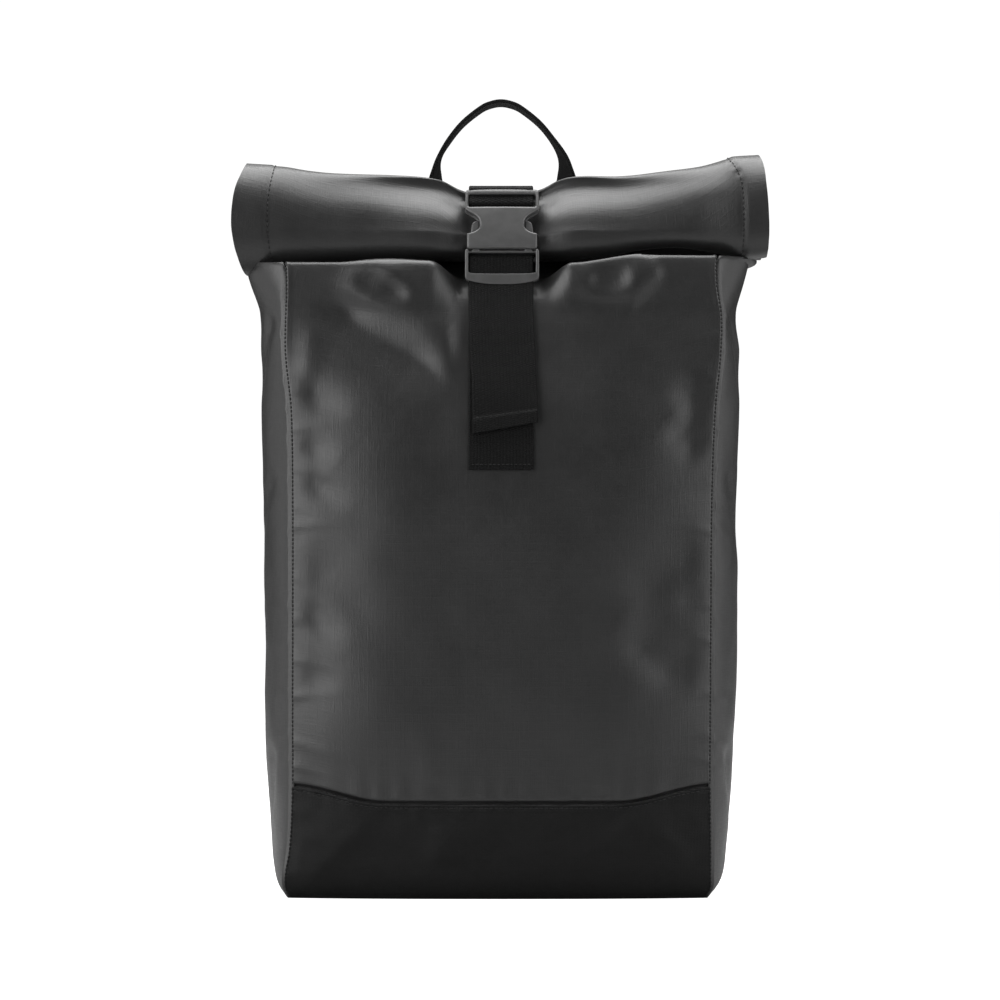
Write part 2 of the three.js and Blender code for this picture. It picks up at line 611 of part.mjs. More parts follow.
function handleGeometry() {
  const tab = HANDLE_SPAN / PANEL_WIDTH;
  const lift = SEAM_GAP + HANDLE_THICKNESS / 2;
  const half = (sign) => [
    ...backRows.slice(1).reverse().map((t) => ({ at: overBack(sign * tab, t, lift), twist: 0 })),
    ...HANDLE_ARCH.map((row) => ({
      at: new THREE.Vector3(
        (sign * row.x * HANDLE_SPAN) / 2,
        row.back * HANDLE_Y,
        TUCK_HEIGHT + row.rise * HANDLE_RISE,
      ),
      twist: THREE.MathUtils.degToRad(row.twist) * -sign,
    })),
  ];
  const top = { at: new THREE.Vector3(0, HANDLE_Y, HANDLE_HEIGHT), twist: Math.PI / 2 };
  const right = half(1).reverse();
  const stops = [...half(-1), top, ...right];
  const stations = stops.map((stop, k) => {
    const before = stops[Math.max(k - 1, 0)].at;
    const after = stops[Math.min(k + 1, stops.length - 1)].at;
    const along = after.clone().sub(before).normalize();
    const pastTop = k > stops.length / 2;
    const turn = pastTop ? Math.PI + stop.twist : stop.twist;
    const wanted = new THREE.Vector3(Math.cos(turn), Math.sin(turn), 0);
    return stationAt(stop.at, along, wanted, HANDLE_WIDTH, HANDLE_THICKNESS);
  });
  return sweepGeometry(stations, FLAT_SECTION);
}

// Middle line of a shoulder strap: sewn to the back at its top, bowed out, its lower end free.
function padPath(sign, s) {
  const t = THREE.MathUtils.lerp(PAD_TOP, PAD_BOTTOM, s);
  const x = sign * THREE.MathUtils.lerp(PAD_INNER, PAD_OUTER, smooth(0.1, 0.8, s));
  const bow = PAD_BOW * Math.sin(Math.PI * smooth(0.08, 1.25, s));
  const point = overBack((2 * x) / PANEL_WIDTH, t, SEAM_GAP + PAD_THICKNESS / 2 + bow);
  point.x = x;
  return point;
}

function padStations(sign) {
  const stops = evenly(0, 1, 15);
  return stops.map((s, k) => {
    const before = padPath(sign, stops[Math.max(k - 1, 0)]);
    const after = padPath(sign, stops[Math.min(k + 1, stops.length - 1)]);
    const along = after.sub(before).normalize();
    const narrow = 1 - 0.45 * smooth(0.8, 1, s);
    const thin = 1 - 0.5 * smooth(0.85, 1, s) - 0.4 * (1 - smooth(0, 0.07, s));
    const wanted = new THREE.Vector3(1, 0, 0);
    const station = stationAt(padPath(sign, s), along, wanted, PAD_WIDTH * narrow,
      PAD_THICKNESS * thin);
    return station;
  });
}

// The adjuster hangs in line with the end of its strap: a frame with two slots.
function lockFrame(sign) {
  const stops = padStations(sign);
  const end = stops[stops.length - 1].at;
  const along = end.clone().sub(stops[stops.length - 2].at).normalize();
  const across = stops[stops.length - 1].across.clone().normalize();
  const out = along.clone().cross(across);
  const middle = end.clone().addScaledVector(along, SEAM_GAP + LOCK_LENGTH / 2);
  const matrix = new THREE.Matrix4().makeBasis(across, along.clone().negate(), out);
  return { middle, along, across, out, matrix };
}

const LOCK_BAR = 5;
const LOCK_SLOT = (LOCK_LENGTH - 3 * LOCK_BAR) / 2;

function rectangle(Kind, left, bottom, width, height) {
  return new Kind()
    .moveTo(left, bottom)
    .lineTo(left + width, bottom)
    .lineTo(left + width, bottom + height)
    .lineTo(left, bottom + height)
    .closePath();
}

function lockGeometry(sign) {
  const shape = rectangle(THREE.Shape, -LOCK_WIDTH / 2, -LOCK_LENGTH / 2, LOCK_WIDTH, LOCK_LENGTH);
  const slotWidth = LOWER_WEBBING_WIDTH + 2;
  [-1, 1].forEach((row) => {
    const bottom = (row * (LOCK_BAR + LOCK_SLOT)) / 2 - LOCK_SLOT / 2;
    shape.holes.push(rectangle(THREE.Path, -slotWidth / 2, bottom, slotWidth, LOCK_SLOT));
  });
  const geometry = new THREE.ExtrudeGeometry(shape, {
    depth: LOCK_THICKNESS,
    bevelEnabled: false,
  });
  geometry.translate(0, 0, -LOCK_THICKNESS / 2);
  const { middle, matrix } = lockFrame(sign);
  geometry.applyMatrix4(matrix.setPosition(middle));
  return geometry;
}

// Lower webbing: its free tail, round the adjuster's lower bar, and down to the bottom corner.
function lowerWebbingGeometry(sign) {
  const { middle, along, across, out } = lockFrame(sign);
  const bar = middle.clone().addScaledVector(along, LOCK_LENGTH / 2 - LOCK_BAR / 2);
  const reach = LOCK_THICKNESS / 2 + SEAM_GAP + WEBBING / 2;
  const past = LOCK_BAR / 2 + SEAM_GAP + WEBBING / 2;
  const at = (depth, down) => bar.clone().addScaledVector(out, depth).addScaledVector(along, down);
  const inward = out.y > 0 ? -1 : 1;
  const hang = (down) => at(-inward * reach, past).add(new THREE.Vector3(0, 0, -down));
  const lift = SEAM_GAP + WEBBING / 2;
  const onBack = (edge, height) => overBack(
    (2 * (sign * CORNER_X + (edge * LOWER_WEBBING_WIDTH) / 2)) / PANEL_WIDTH,
    height / TUCK_HEIGHT,
    lift,
  );
  const around = [
    hang(LOWER_TAIL), hang(LOWER_TAIL / 2), at(-inward * reach, past),
    at(-inward * reach, 0.4 - past), at(inward * (0.8 - reach), -past),
    at(inward * (reach - 0.8), -past), at(inward * reach, 0.4 - past),
    at(inward * reach, past), at(inward * reach, past + 4),
  ];
  const turning = around.slice(0, -1).map((p, k) => {
    const heading = around[k + 1].clone().sub(around[Math.max(k - 1, 0)]).normalize();
    return stationAt(p, heading, across, LOWER_WEBBING_WIDTH, WEBBING);
  });
  const sewn = [CORNER_HEIGHT + CORNER_TAB, CORNER_HEIGHT].map((height) => {
    const left = onBack(-1, height);
    const right = onBack(1, height);
    const wanted = right.clone().sub(left);
    const middle = left.add(right).multiplyScalar(0.5);
    return stationAt(middle, new THREE.Vector3(0, 0, -1), wanted, LOWER_WEBBING_WIDTH, WEBBING);
  });
  return sweepGeometry([...turning, ...sewn], [[-1, -1], [1, -1], [1, 1], [-1, 1]]);
}

const manifold = await Module();
manifold.setup();

function solidOf(geometry) {
  const bare = geometry.clone();
  bare.deleteAttribute("normal");
  bare.deleteAttribute("uv");
  const merged = mergeVertices(bare, 1e-4);
  return new manifold.Manifold(new manifold.Mesh({
    numProp: 3,
    vertProperties: merged.attributes.position.array,
    triVerts: new Uint32Array(merged.index.array),
  }));
}

function geometryOf(solid) {
  const mesh = solid.getMesh();
  const geometry = new THREE.BufferGeometry();
  geometry.setAttribute("position", new THREE.BufferAttribute(mesh.vertProperties, 3));
  geometry.setIndex(new THREE.BufferAttribute(mesh.triVerts, 1));
  const flat = geometry.toNonIndexed();
  flat.computeVertexNormals();
  return flat;
}

// A plate in the buckle's plane, extruded through its depth, front face towards -Y.
function plate(shape, depth, bevel) {
  const geometry = new THREE.ExtrudeGeometry(shape, {
    depth: depth - 2 * bevel,
    bevelEnabled: bevel > 0,
    bevelThickness: bevel,
    bevelSize: bevel,
    bevelOffset: -bevel,
    bevelSegments: 2,
    curveSegments: 5,
  });
  geometry.rotateX(Math.PI / 2);
  geometry.translate(0, depth / 2 - bevel, 0);
  return solidOf(geometry);
}

// A block in the buckle's frame between two corners.
function block(x0, x1, depth0, depth1, up0, up1) {
  const geometry = new THREE.BoxGeometry(x1 - x0, depth1 - depth0, up1 - up0);
  geometry.translate((x0 + x1) / 2, (depth0 + depth1) / 2, (up0 + up1) / 2);
  return solidOf(geometry);
}

// The round bar across a slot that a loop of webbing turns on.
function roundBarSolid(up) {
  const geometry = new THREE.CylinderGeometry(LOOP_BAR / 2, LOOP_BAR / 2, SLOT_WIDTH + 2, 12);
  geometry.rotateZ(Math.PI / 2);
  geometry.translate(0, BAR_DEPTH, up);
  return solidOf(geometry);
}

const halfBuckle = BUCKLE_WIDTH / 2;
const halfSlot = SLOT_WIDTH / 2;
const backFace = BUCKLE_DEPTH / 2;
const WAIST = 0.6; // half width of the socket's waist, of half its width
const cavityHalf = halfBuckle - 3;
const armOuter = cavityHalf - SEAM_GAP;

// Socket: the wide upper end with its slot, a waist that leaves the prongs' sides open, and the
// sleeve that the prongs enter from below.
function socketGeometry() {
  const outline = new THREE.Shape();
  const shoulder = SLEEVE_TOP - 1.2;
  const waist = THREE.MathUtils.lerp(SOCKET_BOTTOM, shoulder, 0.59);
  const flare = THREE.MathUtils.lerp(SOCKET_BOTTOM, shoulder, 0.37);
  const foot = halfBuckle * 0.95;
  outline.moveTo(-halfBuckle + 2, SOCKET_TOP);
  outline.quadraticCurveTo(-halfBuckle, SOCKET_TOP, -halfBuckle, SOCKET_TOP - 2.4);
  outline.lineTo(-halfBuckle, shoulder);
  outline.bezierCurveTo(-halfBuckle * 0.93, shoulder - 3, -halfBuckle * WAIST, shoulder - 3.5,
    -halfBuckle * WAIST, waist);
  outline.bezierCurveTo(-halfBuckle * WAIST, waist - 3.4, -foot * 0.8, flare + 0.5, -foot, flare);
  outline.lineTo(-foot, SOCKET_BOTTOM);
  outline.lineTo(foot, SOCKET_BOTTOM);
  outline.lineTo(foot, flare);
  outline.bezierCurveTo(foot * 0.8, flare + 0.5, halfBuckle * WAIST, waist - 3.4,
    halfBuckle * WAIST, waist);
  outline.bezierCurveTo(halfBuckle * WAIST, shoulder - 3.5, halfBuckle * 0.93, shoulder - 3,
    halfBuckle, shoulder);
  outline.lineTo(halfBuckle, SOCKET_TOP - 2.4);
  outline.quadraticCurveTo(halfBuckle, SOCKET_TOP, halfBuckle - 2, SOCKET_TOP);
  outline.closePath();
  const slot = block(-halfSlot, halfSlot, -backFace - 1, backFace + 1, SLEEVE_TOP,
    SOCKET_TOP - LIP);
  const reach = SOCKET_BOTTOM + PRONG_LENGTH;
  const cavity = block(-cavityHalf, cavityHalf, -ARM_DEPTH / 2 - SEAM_GAP, ARM_DEPTH / 2 + SEAM_GAP,
    SOCKET_BOTTOM - 1, reach + SEAM_GAP);
  const behindLip = block(-halfSlot, halfSlot, LIP_BACK, backFace + 1, SOCKET_TOP - LIP - 1,
    SOCKET_TOP + 1);
  const bar = roundBarSolid(UPPER_BAR);
  return geometryOf(plate(outline, BUCKLE_DEPTH, BUCKLE_BEVEL)
    .subtract(slot).subtract(cavity).subtract(behindLip).add(bar));
}

// Prong half: a frame with its curved lower lip, and two sprung arms and a guide up into the socket.
function prongGeometry() {
  const top = SOCKET_BOTTOM - SEAM_GAP;
  const bend = PRONG_BOTTOM + 2.9;
  const outline = new THREE.Shape();
  outline.moveTo(-halfBuckle, top);
  outline.lineTo(-halfBuckle, bend + 2);
  outline.quadraticCurveTo(-halfBuckle, bend, -halfBuckle + 2.5, bend - 0.6);
  outline.quadraticCurveTo(-halfBuckle / 2, PRONG_BOTTOM, 0, PRONG_BOTTOM);
  outline.quadraticCurveTo(halfBuckle / 2, PRONG_BOTTOM, halfBuckle - 2.5, bend - 0.6);
  outline.quadraticCurveTo(halfBuckle, bend, halfBuckle, bend + 2);
  outline.lineTo(halfBuckle, top);
  outline.closePath();
  const slotFoot = PRONG_BOTTOM + LOWER_LIP;
  const slot = block(-halfSlot, halfSlot, -backFace - 1, backFace + 1, slotFoot, top - 1.5);
  const arms = new THREE.Shape();
  const tip = SOCKET_BOTTOM + PRONG_LENGTH;
  const armInner = halfBuckle * WAIST + SEAM_GAP;
  arms.moveTo(-armOuter + 1, top - 1);
  arms.lineTo(armOuter - 1, top - 1);
  arms.lineTo(armOuter - 1, SOCKET_BOTTOM + 0.45 * PRONG_LENGTH);
  arms.lineTo(armOuter, SOCKET_BOTTOM + 0.55 * PRONG_LENGTH);
  arms.lineTo(armOuter - 0.6, tip - 3);
  arms.quadraticCurveTo(armOuter - 1.5, tip, armInner, tip);
  arms.lineTo(armInner, top + 3);
  arms.lineTo(4, top + 3);
  arms.lineTo(3, tip - 4);
  arms.lineTo(-3, tip - 4);
  arms.lineTo(-4, top + 3);
  arms.lineTo(-armInner, top + 3);
  arms.lineTo(-armInner, tip);
  arms.quadraticCurveTo(-armOuter + 1.5, tip, -armOuter + 0.6, tip - 3);
  arms.lineTo(-armOuter, SOCKET_BOTTOM + 0.55 * PRONG_LENGTH);
  arms.lineTo(-armOuter + 1, SOCKET_BOTTOM + 0.45 * PRONG_LENGTH);
  arms.closePath();
  const behindLip = block(-halfSlot, halfSlot, LIP_BACK, backFace + 1, PRONG_BOTTOM - 1,
    slotFoot + 1);
  const bar = roundBarSolid(LOWER_BAR);
  return geometryOf(plate(outline, BUCKLE_DEPTH - 1, BUCKLE_BEVEL)
    .subtract(slot).subtract(behindLip).add(plate(arms, ARM_DEPTH, 0)).add(bar));
}

// Materials and the assembly
const shellCloth = { color: 0x434343, roughness: 0.55, metalness: 0 };
const bootCloth = { color: 0x1f1f1f, roughness: 0.8, metalness: 0 };
const webbing = { color: 0x161616, roughness: 0.85, metalness: 0 };
const plastic = { color: 0x2a2a2a, roughness: 0.35, metalness: 0 };
const padding = { color: 0x242424, roughness: 0.9, metalness: 0 };

function piece(name, geometry, finish) {
  const mesh = new THREE.Mesh(geometry, new THREE.MeshStandardMaterial(finish));
  mesh.name = name;
  return mesh;
}

const backpack = new THREE.Group();
backpack.add(
  piece("front_panel", wallGeometry(frontPanel.outer, frontPanel.inner), shellCloth),
  piece("boot_panel", wallGeometry(bootPanel.outer, bootPanel.inner), bootCloth),
  piece("side_gusset_left", wallGeometry(gussets.left.outer, gussets.left.inner), shellCloth),
  piece("side_gusset_right", wallGeometry(gussets.right.outer, gussets.right.inner), shellCloth),
  piece("back_panel", wallGeometry(backPanel.outer, backPanel.inner), padding),
  piece("base_panel", baseGeometry(), bootCloth),
  piece("rolled_collar", rollGeometry(), shellCloth),
  piece("front_strap", frontStrapGeometry(), webbing),
  piece("roll_strap", rollStrapGeometry(), webbing),
  piece("grab_handle", handleGeometry(), webbing),
);

const buckle = new THREE.Group();
buckle.position.set(BUCKLE_X, BUCKLE_Y, BUCKLE_HEIGHT);
buckle.rotation.x = -BUCKLE_TILT;
buckle.add(
  piece("buckle_socket", socketGeometry(), plastic),
  piece("buckle_prongs", prongGeometry(), plastic),
);
backpack.add(buckle);

for (const [side, sign] of [["left", -1], ["right", 1]]) {
  backpack.add(
    piece(`shoulder_strap_${side}`, sweepGeometry(padStations(sign), PADDED_SECTION), padding),
    piece(`ladder_lock_${side}`, lockGeometry(sign), plastic),
    piece(`lower_webbing_${side}`, lowerWebbingGeometry(sign), webbing),
  );
}

export default backpack;
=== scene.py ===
"""Looks of the rolltop backpack. Lengths are millimetres until a mesh is made, the frame is the part's."""

import math

import bmesh
import bpy
import numpy as np
from mathutils import Matrix, Vector


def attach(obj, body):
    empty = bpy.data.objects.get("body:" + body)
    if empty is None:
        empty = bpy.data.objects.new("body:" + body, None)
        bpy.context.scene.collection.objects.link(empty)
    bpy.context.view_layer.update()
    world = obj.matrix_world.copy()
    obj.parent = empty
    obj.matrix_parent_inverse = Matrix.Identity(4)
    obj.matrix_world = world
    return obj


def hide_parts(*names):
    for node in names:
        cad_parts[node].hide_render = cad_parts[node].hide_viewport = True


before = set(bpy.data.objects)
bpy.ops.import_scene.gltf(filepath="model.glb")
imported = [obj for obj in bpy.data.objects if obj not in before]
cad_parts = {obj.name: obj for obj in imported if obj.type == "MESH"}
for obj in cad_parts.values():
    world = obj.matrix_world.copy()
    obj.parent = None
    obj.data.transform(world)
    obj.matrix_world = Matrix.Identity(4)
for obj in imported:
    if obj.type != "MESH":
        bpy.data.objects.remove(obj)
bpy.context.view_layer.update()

MM = 0.001

# Sizes of the part, as built
CLOTH, SEAM_GAP = 1.6, 0.3
PANEL_WIDTH, BODY_WIDTH, BODY_DEPTH, TUCK_HEIGHT = 245.0, 286.0, 116.0, 381.0
FRONT_BELLY, BACK_BELLY = 12.0, 4.0
BOOT_HEIGHT, BOOT_SIDE_RISE, BOOT_LAP = 56.0, 9.5, 14.0
PLEAT_DEPTH = 16.0
ROLL_WIDTH, ROLL_DEPTH, ROLL_RISE, ROLL_PITCH, ROLL_BAND = 322.0, 52.0, 52.0, 7.0, 2.4
ROLL_END_SLANT, TUCK_Y = 9.5, 5.0
# Angles round the roll in degrees, from its back over its top: where it starts, is last seen and ends.
ROLL_FIRST, ROLL_SEEN, ROLL_LAST = -33, 330, 720
ROLL_START, ROLL_LAP = math.radians(ROLL_FIRST), math.radians(-20)
STRAP_WIDTH, WEBBING, STRAP_END_HEIGHT, TAIL_END_HEIGHT = 38.0, 1.4, 250.0, 274.0
TAIL_SLANT, STRAP_LEAVES = 6.7, 0.9
TAIL_DRIFT, TAIL_HEM, STRAP_PRESS = 2.6, 8.5, 2.6
HANDLE_WIDTH, HANDLE_THICKNESS, HANDLE_SPAN, HANDLE_HEIGHT, HANDLE_Y = 25.0, 2.0, 84.0, 472.0, 12.0
BUCKLE_WIDTH, BUCKLE_DEPTH, BUCKLE_X, BUCKLE_HEIGHT = 43.5, 9.5, 0.6, 387.4
BUCKLE_TILT, BUCKLE_CLEAR = math.radians(14), 1.2
SOCKET_TOP, SOCKET_BOTTOM, PRONG_BOTTOM, PRONG_LENGTH = 29.4, -8.45, -29.4, 18.0
SLOT_WIDTH, LIP, LOWER_LIP, LIP_DEPTH, LOOP_BAR, ARM_DEPTH = 39.6, 3.4, 6.2, 4.2, 2.6, 4.4
WAIST = 0.6
PAD_WIDTH, PAD_THICKNESS, PAD_BOW, PAD_INNER, PAD_OUTER = 62.0, 9.0, 34.0, 48.0, 74.0
PAD_TOP, PAD_BOTTOM = 0.895, 0.37
LOWER_WEBBING_WIDTH, LOCK_WIDTH, LOCK_LENGTH, LOCK_THICKNESS, LOCK_BAR = 25.0, 33.0, 26.0, 4.0, 5.0
CORNER_X, CORNER_HEIGHT, CORNER_TAB, LOWER_TAIL = 106.0, 24.0, 14.0, 46.0

# Sizes of the scene alone: how far the front's top comes forward and up to the roll, the ears' trim, the
# back's padded field with its channels, the boot's stitch line, the bow of the buckle's face, half a row of
# stitches on the front strap, how the shoulder pads swell and where the roll's hems lie.
TURN_AHEAD, SHOULDER_AHEAD, TURN_RISE, TURN_RISE_RIGHT = 15.0, 4.0, 12.5, 4.0
EAR_TRIM_LEFT, EAR_TRIM_RIGHT = 4.0, 2.0
FIELD_X, FIELD_LOW, FIELD_HIGH, CHANNEL_X = 88.0, 30.0, 296.0, 29.0
HEM_STITCH, BUCKLE_BOW, TACK_REACH = 2.2, 0.005, 17.6
PAD_VOXEL, PAD_PRESSURE, PAD_SWELL, PAD_SLIM = 0.0042, 3.5, 0.0026, 0.72
HEM_LEFT, HEM_RIGHT, HEM_SHIFT = 138.6, 138.3, 6.4

# Sections of the body from its underside to the tuck, as shares of the sizes above.
SECTION_COLUMNS = ("at", "seam_left", "seam_right", "side_left", "side_right",
                   "front_y", "front_z", "back_y", "back_z", "belly", "pleat")
SECTIONS = dict(zip(SECTION_COLUMNS, np.array([
    (0, 1.012, 0.98, 0.9, 0.868, 0.9, 0, 0.88, 0, 0.5, 0),
    (0.016, 1.033, 1.004, 0.93, 0.909, 0.975, 0.016, 0.96, 0.016, 0.6, 0),
    (0.037, 1.033, 1.004, 0.944, 0.93, 1, 0.037, 0.99, 0.037, 0.7, 0),
    (0.079, 1.012, 1.004, 0.955, 0.941, 1, 0.079, 1, 0.079, 0.8, 0),
    (0.163, 1, 1.002, 0.972, 0.962, 0.985, 0.163, 1, 0.163, 0.9, 0),
    (0.294, 1, 1.004, 0.982, 0.979, 0.966, 0.294, 1, 0.294, 1, 0),
    (0.451, 1, 1.008, 0.99, 0.986, 0.95, 0.451, 1, 0.451, 1, 0.04),
    (0.609, 1, 1.012, 1, 0.992, 0.948, 0.609, 1, 0.609, 1, 0.12),
    (0.748, 1.008, 1.029, 1.007, 0.999, 0.93, 0.748, 1, 0.748, 0.7, 0.3),
    (0.835, 1.037, 1.057, 1.008, 0.999, 0.885, 0.835, 0.985, 0.84, 0.28, 0.65),
    (0.898, 1.037, 1.061, 1.018, 0.986, 0.82, 0.898, 0.9, 0.913, 0.04, 1),
    (0.929, 1.033, 1.037, 1.07, 1.035, 0.71, 0.929, 0.69, 0.961, 0, 0.7),
    (0.96, 1.045, 1.045, 1.108, 1.075, 0.46, 0.949, 0.414, 0.992, 0, 0.25),
    (0.98, 1.06, 1.06, 1.115, 1.083, 0.22, 0.957, 0.28, 0.998, 0, 0.1),
    (1, 1.077, 1.077, 1.12, 1.09, -0.043, 0.994, 0.15, 1.018, 0, 0),
], float).T))
GUSSET_TOP = 0.98
ROLL_PROFILE = dict(zip(("at", "rise"), np.array([
    (-1, 0.99), (-0.83, 0.962), (-0.72, 0.912), (-0.61, 0.877), (-0.4, 0.86), (-0.26, 0.831),
    (-0.15, 0.74), (-0.07, 0.715), (0.07, 0.72), (0.15, 0.75), (0.27, 0.85), (0.44, 0.854),
    (0.59, 0.9), (0.74, 0.958), (0.88, 1.05), (1, 1.075),
], float).T))


# The part's surfaces
def curve(table, name, where):
    """A smooth curve through one column of a table, as the part has it."""
    keys, values = table["at"], table[name]
    last = len(keys) - 1
    low, high = np.maximum(np.arange(last + 1) - 1, 0), np.minimum(np.arange(last + 1) + 1, last)
    slope = (values[high] - values[low]) / (keys[high] - keys[low])
    where = np.asarray(where, float)
    i = np.clip(np.searchsorted(keys, where, side="left") - 1, 0, last - 1)
    span = keys[i + 1] - keys[i]
    s = np.clip((where - keys[i]) / span, 0, 1)
    s2, s3 = s * s, s * s * s
    return ((2 * s3 - 3 * s2 + 1) * values[i] + (s3 - 2 * s2 + s) * span * slope[i]
            + (3 * s2 - 2 * s3) * values[i + 1] + (s3 - s2) * span * slope[i + 1])


def smooth(low, high, value):
    s = np.clip((np.asarray(value, float) - low) / (high - low), 0, 1)
    return s * s * (3 - 2 * s)


def bump(value, middle, width):
    return np.exp(-((np.asarray(value, float) - middle) / width) ** 2)


def grid(x, y, z):
    return np.stack(np.broadcast_arrays(x, y, z), -1).astype(float)


def seam_x(u, t):
    left, right = curve(SECTIONS, "seam_left", t), curve(SECTIONS, "seam_right", t)
    return PANEL_WIDTH / 2 * np.where(np.asarray(u) < 0, left, right)


def roll_radii(x):
    rise = curve(ROLL_PROFILE, "rise", np.asarray(x) / (ROLL_WIDTH / 2))
    return ROLL_RISE * rise / (1 - math.sin(ROLL_START)), ROLL_DEPTH / 2 * rise ** 0.8


def roll_point(x, angle):
    up, deep = roll_radii(x)
    shrink = ROLL_PITCH * np.maximum(0, (np.asarray(angle) - math.pi / 2) / (2 * math.pi))
    y = TUCK_Y - deep * math.cos(ROLL_START) + (deep - shrink) * np.cos(angle)
    z = TUCK_HEIGHT - up * math.sin(ROLL_START) + (up - shrink) * np.sin(angle)
    return grid(x, y, z)


def roll_normal(x, angle):
    up, deep = roll_radii(x)
    n = grid(0, np.cos(angle) / deep, np.sin(angle) / up)
    return n / np.linalg.norm(n, axis=-1, keepdims=True)


def front_base(u, t):
    """Outer surface of the front without its folds."""
    y = BODY_DEPTH / 2 * curve(SECTIONS, "front_y", t)
    belly = FRONT_BELLY * curve(SECTIONS, "belly", t) * (1 - np.abs(u) ** 2.6)
    x = u * seam_x(u, t)
    full = (0.1 + 0.9 * smooth(22, 42, np.abs(x))) * (1 - smooth(0.975, 1, t))
    ahead = full * (TURN_AHEAD * bump(t, 0.962, 0.026) + SHOULDER_AHEAD * bump(t, 0.93, 0.02))
    up = full * (TURN_RISE + TURN_RISE_RIGHT * smooth(40, 80, x)) * bump(t, 0.948, 0.026)
    return grid(x, -y - belly - ahead, TUCK_HEIGHT * curve(SECTIONS, "front_z", t) + up)


def back_surface(u, t):
    x = u * seam_x(u, t)
    belly = BACK_BELLY * curve(SECTIONS, "belly", t) * (1 - np.abs(u) ** 3)
    point = grid(x, BODY_DEPTH / 2 * curve(SECTIONS, "back_y", t) + belly,
                 TUCK_HEIGHT * curve(SECTIONS, "back_z", t))
    lap = roll_point(x, ROLL_LAP) + roll_normal(x, ROLL_LAP) * (SEAM_GAP + CLOTH)
    s = smooth(0.95, 1, t)[..., None] if np.ndim(t) else smooth(0.95, 1, t)
    return point + (lap - point) * s


def gusset_surface(sign, v, t):
    u, height = sign * np.ones_like(v * t), t + 0 * v
    front, back, seam = front_base(u, height), back_surface(u, height), seam_x(u, height)
    column, trim = ("side_left", EAR_TRIM_LEFT) if sign < 0 else ("side_right", EAR_TRIM_RIGHT)
    side = BODY_WIDTH / 2 * curve(SECTIONS, column, t) - trim * smooth(0.93, 0.97, t)
    bulge = (side - seam) * np.sin(np.pi * np.clip(v, 0, 1)) ** 0.75
    pleat = PLEAT_DEPTH * curve(SECTIONS, "pleat", t) * np.exp(-((v - 0.5) / 0.11) ** 2)
    point = front + (back - front) * np.asarray(v)[..., None]
    point[..., 0] = sign * (seam + SEAM_GAP + bulge - pleat)
    return point


def normals_of(points):
    """Unit normals of a grid of points, by its neighbours."""
    right = np.gradient(points, axis=1)
    above = np.gradient(points, axis=0)
    n = np.cross(right, above)
    return n / np.maximum(np.linalg.norm(n, axis=-1, keepdims=True), 1e-12)


def noise(shape, seed, cells, octaves=3):
    """Smooth seeded noise over a grid, about -1 to 1. cells is the number of cells each way."""
    rng = np.random.default_rng(seed)
    total, weight = np.zeros(shape), 1.0
    for k in range(octaves):
        rows, columns = int(cells[0] * 2 ** k) + 2, int(cells[1] * 2 ** k) + 2
        lattice = rng.uniform(-1, 1, (rows, columns))
        y, x = np.linspace(0, rows - 1.001, shape[0]), np.linspace(0, columns - 1.001, shape[1])
        i, j = y.astype(int), x.astype(int)
        fy, fx = smooth(0, 1, y - i)[:, None], smooth(0, 1, x - j)[None, :]
        a, b = lattice[i][:, j], lattice[i][:, j + 1]
        c, d = lattice[i + 1][:, j], lattice[i + 1][:, j + 1]
        total += weight * ((a * (1 - fx) + b * fx) * (1 - fy) + (c * (1 - fx) + d * fx) * fy)
        weight *= 0.5
    return total


# Mesh making
def mesh_of(name, co, faces, uv=None, sharp=40, material=None):
    """A smooth-shaded mesh object from millimetre points and faces, with a UV in metres."""
    mesh = bpy.data.meshes.new(name)
    mesh.from_pydata((np.asarray(co) * MM).tolist(), [], [list(f) for f in faces])
    mesh.update()
    if uv is not None:
        layer = mesh.uv_layers.new(name="cloth")
        index = np.empty(len(mesh.loops), np.int32)
        mesh.loops.foreach_get("vertex_index", index)
        layer.data.foreach_set("uv", (np.asarray(uv)[index] * MM).astype(np.float32).ravel())
    mesh.polygons.foreach_set("use_smooth", np.ones(len(mesh.polygons), bool))
    mesh.set_sharp_from_angle(angle=math.radians(sharp))
    obj = placed(name, mesh)
    if material:
        mesh.materials.append(material)
    return obj


def unit(vector):
    return vector / np.linalg.norm(vector)


def placed(name, data):
    """A new object of the scene."""
    obj = bpy.data.objects.new(name, data)
    bpy.context.scene.collection.objects.link(obj)
    return obj


def evaluated(obj):
    """A mesh with the object's modifiers applied."""
    return bpy.data.meshes.new_from_object(obj.evaluated_get(bpy.context.evaluated_depsgraph_get()))


def places_of(mesh):
    co = np.empty(len(mesh.vertices) * 3)
    mesh.vertices.foreach_get("co", co)
    return co.reshape(-1, 3)


def path_lengths(path):
    """How far along a path each of its points lies."""
    return np.concatenate([[0], np.cumsum(np.linalg.norm(np.diff(path, axis=0), axis=1))])


def volume_of(co, faces):
    total = 0.0
    for size in {len(f) for f in faces}:
        f = np.array([g for g in faces if len(g) == size])
        for k in range(1, size - 1):
            a, b, c = co[f[:, 0]], co[f[:, k]], co[f[:, k + 1]]
            total += np.einsum("ij,ij->i", a, np.cross(b, c)).sum()
    return total


def lengths(points, axis):
    step = np.linalg.norm(np.diff(points, axis=axis), axis=-1)
    pad = [(0, 0), (0, 0)]
    pad[axis] = (1, 0)
    return np.cumsum(np.pad(step, pad), axis=axis)


